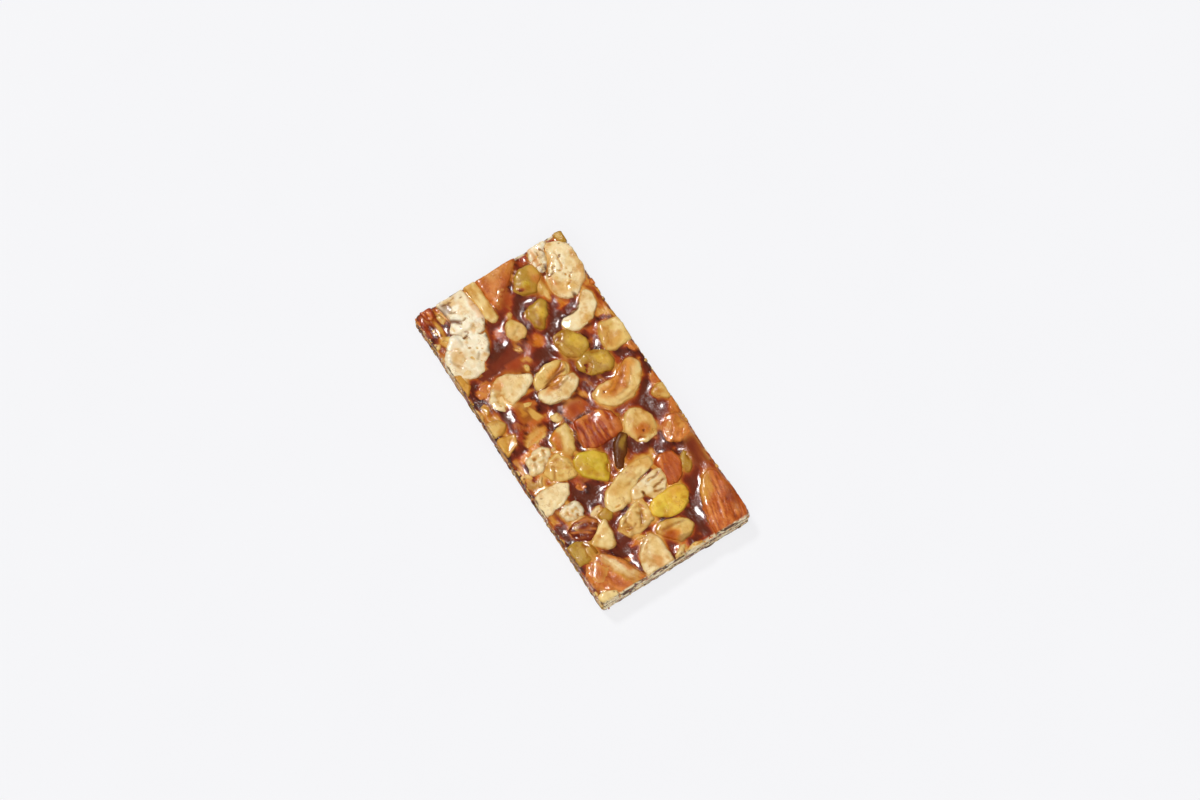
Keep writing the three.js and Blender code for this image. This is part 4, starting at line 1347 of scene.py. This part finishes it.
def move_tops(sheet, moved):
    """Moves the upper skin of every nut with the slumped caramel."""
    for piece in solid_pieces():
        points = points_of(piece.data)
        points[:, 2] += sheet.read(moved, points) * ease(points[:, 2], 8.2, 9.4)
        put_points(piece.data, CUT_EDGE.keep_inside(points))


def slab_box(cells):
    """A closed box of even faces, one unit each way, with so many faces along, across and up."""
    bpy.ops.object.select_all(action="DESELECT")
    bpy.ops.mesh.primitive_cube_add(size=1, location=(0, 0, 0.5))
    box = bpy.context.object
    mesh = box.data
    for axis, count in enumerate(cells):
        bpy.ops.object.mode_set(mode="EDIT")
        bpy.ops.mesh.select_mode(type="EDGE")
        bpy.ops.mesh.select_all(action="DESELECT")
        bpy.ops.object.mode_set(mode="OBJECT")
        points = points_of(mesh)
        ends = edges_of(mesh)
        along = np.abs(points[ends[:, 0]] - points[ends[:, 1]])[:, axis] > 1e-4
        mesh.edges.foreach_set("select", along)
        bpy.ops.object.mode_set(mode="EDIT")
        bpy.ops.mesh.subdivide(number_cuts=count - 1)
        bpy.ops.object.mode_set(mode="OBJECT")
    bpy.ops.object.transform_apply()
    return box


def shape_slab(unit, sheet, height):
    """Moves the points of the unit box onto the caramel's surface."""
    span = BAR_HIGH - BAR_LOW
    points = unit * (span[0], span[1], 1)
    top, under = unit[:, 2] > 0.9999, unit[:, 2] < 0.0001
    # The long and short sides follow the knife's cut.
    reach = np.ones((len(points), 2))
    for side, (axis, sign) in enumerate(CutEdge.SIDES):
        here = sign * points[:, axis] > 0
        reach[here, axis] = (CUT_EDGE.reach(side, points[:, 1 - axis]) / BAR_HIGH[axis])[here]
    points[:, :2] *= reach
    crown = sheet.read(height, points)
    points[:, 2] = unit[:, 2] * crown
    # The knife left the caramel chattered, and a little behind the nuts it went through.
    side_depth = with_lumps(0.12 + 0.2 * chatter_and_shade(points), points, (0.10, 51, 3.0), (0.10, 52, 1.1))
    rim = np.clip(1 - (crown - points[:, 2]) / 0.7, 0, 1) ** 2
    foot = np.clip(1 - points[:, 2] / 0.6, 0, 1) ** 2
    ragged = 1 + Lumps(57, 1.6)(points)
    inset = np.maximum(side_depth, 0.02) + 0.35 * rim * ragged + 0.25 * foot
    points = CUT_EDGE.keep_inside(points, inset)
    near = CUT_EDGE.depth(points)
    droop = 0.35 * np.clip(1 - (near - 0.4) / 1.0, 0, 1) ** 2
    points[top, 2] -= droop[top]
    belly = with_lumps(0.12, points, (0.10, 53, 3.5), (0.06, 54, 1.2))
    points[under, 2] = np.maximum(belly, 0.02)[under] + 0.2 * np.clip(1 - near / 0.8, 0, 1)[under]
    return points


# Bits of nut just under the surface: middle x and y, half length, half width, heading, shade, and
# how much caramel lies over them.
SUNKEN = [
    (-26.4, 25.6, 3.6, 2.6, 10, "tan", 0.4), (-11.8, 25.6, 2.6, 2.6, 0, "tan", 0.45),
    (1.6, 27, 2.6, 1.8, 0, "honey", 0.2), (15, 27, 6.4, 1.7, -3, "tan", 0.3),
    (30, 25.6, 6.6, 2.8, -4, "maroon", 0.4), (31.6, 20.4, 4, 1.4, -8, "honey", 0.35),
    (55.6, 26.6, 2.6, 1.6, 0, "tan", 0.25), (-37.6, 26, 1.8, 1.8, 0, "straw", 0.45),
    (-56.4, 12.8, 1.6, 2.2, 0, "brick", 0.55), (-41.4, 12.6, 3.6, 1.6, -6, "cream", 0.15),
    (-34.8, 15.4, 1.8, 2.4, 0, "amber", 0.2), (-22.6, 18.4, 2.6, 2.2, 20, "tan", 0.75),
    (22, 4, 1.6, 3, -20, "honey", 0.55), (-45, 1.6, 2.6, 5.4, 35, "brick", 0.6),
    (-41.3, -1.4, 1.5, 1.4, 0, "straw", 0.2), (-29.2, 2.2, 3.2, 2.6, 10, "amber", 0.35),
    (-30.3, -5.5, 2.2, 1.6, 30, "straw", 0.2), (-23, -6.2, 1.7, 1.1, 0, "straw", 0.3),
    (-38.4, -8, 1.8, 4.2, 30, "tan", 0.7), (-29.6, -9.4, 3.8, 10.4, 6, "maroon", 0.3),
    (-27.6, -19, 2.2, 3.6, 0, "maroon", 0.5), (-53, -21, 2.4, 1.3, 0, "cream", 0.2),
    (-50, -23.6, 3.4, 1.6, 10, "straw", 0.2), (-45, -24.6, 3.6, 2, 0, "straw", 0.25),
    (-52, -27.4, 5.8, 1.3, 0, "brick", 0.25), (-38, -27.6, 3.4, 1.1, 0, "straw", 0.2),
    (-28, -26, 2.4, 1.6, 0, "honey", 0.25), (-13.2, -25, 3.4, 3.2, 0, "honey", 0.22),
    (-10.6, -14.4, 3.8, 4.2, 20, "honey", 0.34), (-16.2, -10.6, 1.2, 2.6, -15, "honey", 0.45),
    (-8, -12, 3, 3, 20, "straw", 0.2), (-5.6, -14.6, 2.2, 5.2, 10, "tan", 0.5),
    (2.6, -21.6, 2, 6.6, 4, "amber", 0.12), (-0.4, -17, 1.6, 6, 8, "amber", 0.1),
    (-4, -20.4, 3.2, 1.6, -40, "brick", 0.35), (-7.4, -8.8, 2.4, 1.6, 0, "straw", 0.35),
    (9.4, -22.6, 4, 1.5, -10, "tan", 0.25), (12, -24.6, 2.8, 1.9, 20, "olive", 0.12),
    (6.6, -26.6, 4, 1.5, 0, "honey", 0.25), (19.6, -13.6, 2.4, 2, 45, "tan", 0.6),
    (24, -4.4, 2.6, 2.2, 0, "honey", 0.8), (28.6, -22.6, 4.6, 2.4, 0, "honey", 0.35),
    (26.5, -26.6, 4.4, 1.3, 0, "honey", 0.18), (33.6, -10.4, 1.8, 3.2, 20, "olive", 0.18),
    (45.4, -7, 1.4, 4.6, 6, "amber", 0.25), (44.6, 0.8, 1.3, 2.6, 0, "tan", 0.35),
    (54.8, 3.6, 1.6, 4, 10, "amber", 0.45), (56.6, 11.4, 1.6, 2.4, 0, "brick", 0.45),
    (43, -26, 3.4, 1.6, 20, "brick", 0.35), (30.4, -16.6, 1.6, 2.6, 0, "brick", 0.55),
]
SIGHT = 4.5  # how far into the caramel a nut is looked for
STRAY_BITS = 110
STRAY_SHADES = ("straw", "cream", "tan", "honey", "olive", "russet")
# Gaps that go deep: middle x and y, half length, half width and heading.
DEEP_GAPS = [
    (-33.9, 16.8, 3.2, 1, 104), (-31, 10.6, 3.8, 1.2, -38), (-28.4, 6.6, 3.2, 2.2, 90),
    (-36.6, 0.5, 3.4, 0.5, 6), (46.4, 12.4, 2.6, 1.6, 110), (35, -5.4, 3, 1, 110), (22, -16, 3, 2.2, -40),
    (2.6, 23.2, 3.4, 1.8, -40), (-16.6, 16, 1.8, 0.9, 90), (-7.4, 14.4, 1.8, 1, 90),
    (13.4, 1.6, 2.6, 1.1, 70), (33, -26.4, 4.4, 1.2, 0), (-50.6, -26.4, 3, 0.9, 0),
    (45, 6.4, 3.4, 0.7, 80), (22.8, -10, 3.2, 2, 60), (8.6, 22, 1.8, 1, 0), (-4.4, 27.4, 3.6, 1.1, 0),
    (-45.2, 4.6, 1.4, 2.6, 20), (16.6, 9.2, 1.8, 1.4, 0), (53.4, 12.6, 3.4, 1.2, 0),
    (-26.6, -24.4, 1.6, 1.6, 0), (-12.6, -21.6, 3.6, 1, 0), (8, -24.2, 3.4, 0.9, -10),
    (55, 7.6, 1.2, 2, 0), (43.8, -2.6, 3.6, 0.5, 100), (29.6, -26.8, 2, 1, 0),
    (-53.6, -22.4, 2.4, 0.7, 10), (-20.6, -25.4, 2.2, 1.4, 0), (-24.6, 1.2, 2.6, 4.2, 0),
    (-41.6, 1.6, 2.2, 3.6, 40), (-32.6, -11.6, 1.6, 5.6, 20), (9.8, 19.8, 5.4, 2, -12),
    (19.6, 10.4, 3, 2.6, -40), (47.6, 12.8, 3.6, 2, -40), (24.6, -13.4, 3.2, 2.2, 20),
    (46.4, -14, 1.4, 3.4, -30), (-8.6, -9.4, 2, 1.4, 40), (-11.2, 23.2, 0.9, 2.8, 0),
    (-24.4, 23.8, 0.8, 3, -10), (33, -19.8, 1, 3, 0), (36.6, -23.6, 1.6, 1.6, 0),
    (-13, 8.6, 2.6, 1.4, -30), (27.8, 8.6, 3.8, 0.5, -72), (36, 2.4, 1.4, 0.7, 10),
    (44.2, -3.4, 3.2, 0.5, -75), (56.2, -0.8, 2.6, 0.5, -5),
]


def sunken_bits():
    """The named sunken bits, and small stray ones deeper down."""
    rng = np.random.default_rng(71)
    strays = []
    for _ in range(STRAY_BITS):
        x, y = rng.uniform(-57, 57), rng.uniform(-28, 28)
        long, wide = rng.uniform(1.2, 3.2), rng.uniform(0.8, 1.8)
        turn = rng.uniform(0, 180)
        shade = STRAY_SHADES[rng.integers(len(STRAY_SHADES))]
        strays.append((x, y, long, wide, turn, shade, rng.uniform(0.35, 1.3)))
    return SUNKEN + strays


def wrinkles(points):
    """How wrinkled the caramel's skin is: least where it set clear, most round the slumped places."""
    spots = bent(points)
    rough = 0.55 + 0.3 * Lumps(59, 5.0)(points)
    for x, y, half_length, half_width, turn in SLUMPS:
        rough = np.maximum(rough, blot(spots, x, y, half_length * 2 + 1.2, half_width * 2 + 1.2, turn))
    for spot in CLEAR_SPOTS:
        rough *= 1 - blot(spots, *spot)
    return np.clip(rough, 0, 1)


def add_sunken(points, depth, shade):
    """Lets the sunken bits show through the caramel's top."""
    spots = bent(points)
    upper = points[:, 2] > TOP_FROM
    for x, y, half_length, half_width, turn, name, cover in sunken_bits():
        close = upper & (np.hypot(points[:, 0] - x, points[:, 1] - y) < 2 * half_length + 1)
        share = blot(spots[close], x, y, half_length, half_width, turn)
        over = cover + 4 * (1 - share) ** 1.5
        nearer = over < depth[close]
        index = np.flatnonzero(close)[nearer]
        depth[index] = over[nearer]
        shade[index] = shade_named(name)
    for gap in DEEP_GAPS:
        depth = depth + 3.2 * (blot(spots, *gap) * upper)
    return depth, shade


def colour_caramel(mesh, points, bed, sheet, bare):
    """Notes on each point how much caramel lies over the nut below, and that nut's shade."""
    depth, shade = bed.look(points, -normals_of(mesh), SIGHT)
    gap = bed.gap(points)
    rise = 9 - 6.6 * softness(points)
    depth = np.minimum(depth, 0.8 * gap + rise * gap ** 2)
    edges = edges_of(mesh)
    depth = relax(depth, edges, 2)
    shade = relax(shade, edges, 3)
    depth, shade = add_sunken(points, depth, shade)
    halo = ease(with_lumps(0, points, (1, 64, 3.4), (0.4, 65, 1.3)), -0.3, 0.4)
    close = ease(sheet.read(bare, points), 0.0, 0.55) * (points[:, 2] > TOP_FROM) * halo
    depth = depth * (1 - 0.3 * close) + 0.10 * np.exp(-depth / 0.3)
    # Thicker, darker caramel in the side's furrows and at its foot: partly painted shade, and a painted
    # contact shadow at the foot.
    furrow = chatter_and_shade(points)
    put_number(mesh, "depth", depth + 3 * furrow * (points[:, 2] < 10))
    # A painted contact shadow: a thin dark line in the caramel beside each crisp nut edge.
    painted_contact_shade = (1 - softness(points)) * np.exp(-((gap - 0.4) / 0.35) ** 2) * ease(depth, 0.5, 1.2)
    put_number(mesh, "painted_contact_shade", painted_contact_shade * (points[:, 2] > TOP_FROM))
    put_number(mesh, "wrinkles", wrinkles(points))
    put_colour(mesh, "under", shade)
    below_rim = ease(BAR_TOP - points[:, 2], 0.5, 1.2)
    sawn = 1 - ease(CUT_EDGE.depth(points), 0.6, 1.1)
    put_number(mesh, "frost", sawn * (1 - ease(furrow, 0.1, 0.5)) * below_rim * sawn_dry(points))
    put_number(mesh, "sawn", sawn * below_rim)


def glaze_nuts(bed, sheet, height, bare):
    """Notes on each nut how much glaze it wears: most where it dips into the caramel."""
    for piece in bed.pieces:
        mesh = piece.data
        points = points_of(mesh)
        cut = number_of(mesh, "cut")
        clear = points[:, 2] - sheet.read(height, points)
        rim = 1 - ease(sheet.read(bare, points), 0.45, 0.95)
        soft = softness(points)
        dipped = np.exp(-np.maximum(clear, 0) / (0.16 + 0.2 * soft))
        glaze = 0.01 + (0.10 + 0.22 * soft) * np.maximum(rim, dipped)
        normals = normals_of(mesh)
        hollow = ((relax(points, edges_of(mesh), 8) - points) * normals).sum(1)
        glaze += 3.0 * np.maximum(hollow, 0) * (points[:, 2] > 6)
        smear = np.maximum(Lumps(61, 3.0)(points), 0)
        warm = (1 - sawn_dry(points)) * (0.15 + 0.4 * Lumps(68, 2.4)(points))
        glaze = glaze * (1 - cut) + cut * (0.12 * smear + np.maximum(warm, 0))
        smears = ease(with_lumps(0, points, (1, 62, 4.2), (0.5, 63, 1.7)), 0.3, 0.95)
        glaze += 0.30 * smears * (1 - cut)
        if piece.name.removesuffix("_nut") in CRUMBLY:
            glaze *= 0.45
        for *patch, thickness in GLAZE:
            glaze += thickness * blot(points, *patch) * (1 - cut)
        put_number(mesh, "glaze", glaze)


SLAB_CELLS = (276, 136, 25)  # faces along, across and up the slab


def pour_caramel():
    sheet = Sheet()
    height, bare = caramel_heights(sheet, Bed())
    bed = Bed()  # read again, because the slumps moved the nuts' tops
    slab = slab_box(SLAB_CELLS)
    slab.name = slab.data.name = "caramel_slab"
    mesh = slab.data
    unit = points_of(mesh) * MM
    points = shape_slab(unit, sheet, height)
    put_points(mesh, points)
    colour_caramel(mesh, points, bed, sheet, bare)
    glaze_nuts(bed, sheet, height, bare)
    dress(slab, "caramel")
    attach(slab, "root")
    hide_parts("caramel")


# ------------------------------------------------------------------ crumbs

CRUMB_SHADES = ("snow", "ivory", "cream", "chalk", "straw", "tan", "honey")
CRUMBS_PER_MM = 1.6


def make_crumbs():
    """Crumbs that the knife left along the four sides, two in five of them near the rim."""
    rng = np.random.default_rng(91)
    ball = pattern_ball(2)
    crumbs = []
    for side in side_tries(CRUMBS_PER_MM):
        size = rng.uniform(0.12, 0.36)
        spot = spot_at_side(rng, side, 0.6, 0.1, 0.4)
        spot[2] = rng.uniform(7.8, 9.2) if rng.random() < 0.4 else rng.uniform(0.3, 8)
        points = knobbly(ball, size * rng.uniform(0.6, 1.4, 3), rng.integers(9999))
        points = turned(points, rng.uniform(0, 6.3), rng.uniform(-1, 1), rng.uniform(-1, 1)) + spot
        crumb = shaped_copy(ball, points)
        shade = shade_named(CRUMB_SHADES[rng.integers(len(CRUMB_SHADES))])
        colours = np.tile(shade * rng.uniform(0.85, 1.05), (len(points), 1))
        put_colour(crumb.data, "shade", colours)
        crumbs.append(crumb)
    join_pieces(crumbs, "crumbs", "crumb")
    bpy.data.objects.remove(ball)


# ------------------------------------------------------------------ stage


FIELD = 0.390  # how wide the view is at the bar, in metres
STEP = FIELD / 1200  # what the next two are counted in
AIM_RIGHT, AIM_UP = 19, 13  # how far off the bar's middle the camera aims
LENS, SENSOR = 100, 36


def look_from(azimuth, elevation):
    a, e = math.radians(azimuth), math.radians(elevation)
    return Vector((math.sin(a) * math.cos(e), -math.cos(a) * math.cos(e), math.sin(e)))


def aim(thing, place, target):
    thing.location = place
    thing.rotation_euler = (target - place).to_track_quat("-Z", "Y").to_euler()


def set_floor(settings):
    bpy.ops.object.select_all(action="DESELECT")
    bpy.ops.mesh.primitive_plane_add(size=6, location=(0, 0, 0))
    floor = bpy.context.object
    floor.name = "floor"
    r = Recipe("floor")
    darker = (*(c * 0.985 for c in settings.floor), 1)
    tone = r.mix(r.noise(40.0, 2.0), (*settings.floor, 1), darker)
    floor.data.materials.append(r.finish({
        "Base Color": tone, "Roughness": 0.8, "Emission Color": tone, "Emission Strength": 5.7,
    }))


def add_light(name, strength, breadth, side, elevation, glare=True):
    """A light from one side, as broad as an angle of so many degrees."""
    bpy.ops.object.light_add(type="SUN")
    light = bpy.context.object
    light.name = name
    light.data.angle = math.radians(breadth)
    light.data.energy = strength
    light.visible_glossy = glare
    up = math.radians(elevation)
    side = Vector((*side, 0)).normalized()
    aim(light, side * math.cos(up) + Vector((0, 0, math.sin(up))), Vector((0, 0, 0.005)))


def set_light(settings):
    scene = bpy.context.scene
    world = bpy.data.worlds.new("soft room")
    world.use_nodes = True
    world.node_tree.nodes["Background"].inputs["Color"].default_value = (1, 1, 1, 1)
    world.node_tree.nodes["Background"].inputs["Strength"].default_value = settings.fill
    scene.world = world
    add_light("key", settings.key, breadth=10, side=(-0.975, -0.22), elevation=60)
    add_light("front", settings.front, breadth=70, side=(0.9, -0.6), elevation=62, glare=False)


def set_camera(settings):
    scene = bpy.context.scene
    bpy.ops.object.camera_add()
    camera = bpy.context.object
    camera.name = "camera"
    camera.data.lens = LENS
    camera.data.sensor_width = SENSOR
    camera.data.clip_start = 0.01
    back = look_from(settings.azimuth, settings.elevation)
    right = Vector((0, 0, 1)).cross(back).normalized()
    up = back.cross(right)
    target = Vector((0, 0, BAR_TOP * MM)) + right * AIM_RIGHT * STEP + up * AIM_UP * STEP
    aim(camera, target + back * FIELD * LENS / SENSOR, target)
    scene.camera = camera
    scene.view_settings.view_transform = "Standard"


# ------------------------------------------------------------------ add-on


class BRITTLE_OT_cashews(bpy.types.Operator):
    """Make the cashews"""

    bl_idname = "brittle.cashews"
    bl_label = "Cashews"

    def execute(self, context):
        make_nuts("cashew")
        return {"FINISHED"}


class BRITTLE_OT_almonds(bpy.types.Operator):
    """Make the almonds"""

    bl_idname = "brittle.almonds"
    bl_label = "Almonds"

    def execute(self, context):
        make_nuts("almond")
        return {"FINISHED"}


class BRITTLE_OT_pistachios(bpy.types.Operator):
    """Make the pistachios"""

    bl_idname = "brittle.pistachios"
    bl_label = "Pistachios"

    def execute(self, context):
        make_nuts("pistachio")
        return {"FINISHED"}


class BRITTLE_OT_walnuts(bpy.types.Operator):
    """Make the walnut pieces"""

    bl_idname = "brittle.walnuts"
    bl_label = "Walnuts"

    def execute(self, context):
        make_nuts("walnut")
        return {"FINISHED"}


class BRITTLE_OT_chips(bpy.types.Operator):
    """Make the small chips of nut on top, at the cut sides and underneath"""

    bl_idname = "brittle.chips"
    bl_label = "Chips"

    def execute(self, context):
        make_chips()
        return {"FINISHED"}


class BRITTLE_OT_caramel(bpy.types.Operator):
    """Pour the caramel round the nuts that are there"""

    bl_idname = "brittle.caramel"
    bl_label = "Caramel"

    def execute(self, context):
        pour_caramel()
        return {"FINISHED"}


class BRITTLE_OT_crumbs(bpy.types.Operator):
    """Scatter crumbs along the cut sides"""

    bl_idname = "brittle.crumbs"
    bl_label = "Crumbs"

    def execute(self, context):
        make_crumbs()
        return {"FINISHED"}


class BRITTLE_OT_stage(bpy.types.Operator):
    """Set the floor, the light and the camera"""

    bl_idname = "brittle.stage"
    bl_label = "Stage"

    def execute(self, context):
        settings = context.scene.brittle_stage
        set_floor(settings)
        set_light(settings)
        set_camera(settings)
        return {"FINISHED"}


STEPS = ("cashews", "almonds", "pistachios", "walnuts", "chips", "caramel", "crumbs", "stage")


class BRITTLE_PT_panel(bpy.types.Panel):
    """Lists the steps in the order they are done"""

    bl_label = "Nut Brittle Bar"
    bl_idname = "BRITTLE_PT_panel"
    bl_space_type = "VIEW_3D"
    bl_region_type = "UI"
    bl_category = "Brittle"

    def draw(self, context):
        scene = context.scene
        for group in (scene.brittle_nuts, scene.brittle_caramel, scene.brittle_stage):
            box = self.layout.box()
            for name in group.__annotations__:
                box.prop(group, name)
        for step in STEPS:
            self.layout.operator("brittle." + step)


CLASSES = (
    BRITTLE_PG_nuts, BRITTLE_PG_caramel, BRITTLE_PG_stage,
    BRITTLE_OT_cashews, BRITTLE_OT_almonds, BRITTLE_OT_pistachios, BRITTLE_OT_walnuts,
    BRITTLE_OT_chips, BRITTLE_OT_caramel, BRITTLE_OT_crumbs, BRITTLE_OT_stage, BRITTLE_PT_panel,
)


def register():
    for cls in CLASSES:
        bpy.utils.register_class(cls)
    bpy.types.Scene.brittle_nuts = bpy.props.PointerProperty(type=BRITTLE_PG_nuts)
    bpy.types.Scene.brittle_caramel = bpy.props.PointerProperty(type=BRITTLE_PG_caramel)
    bpy.types.Scene.brittle_stage = bpy.props.PointerProperty(type=BRITTLE_PG_stage)


def unregister():
    del bpy.types.Scene.brittle_stage
    del bpy.types.Scene.brittle_caramel
    del bpy.types.Scene.brittle_nuts
    for cls in reversed(CLASSES):
        bpy.utils.unregister_class(cls)


def main():
    register()
    for step in STEPS:
        getattr(bpy.ops.brittle, step)()


if __name__ == "__main__":
    main()
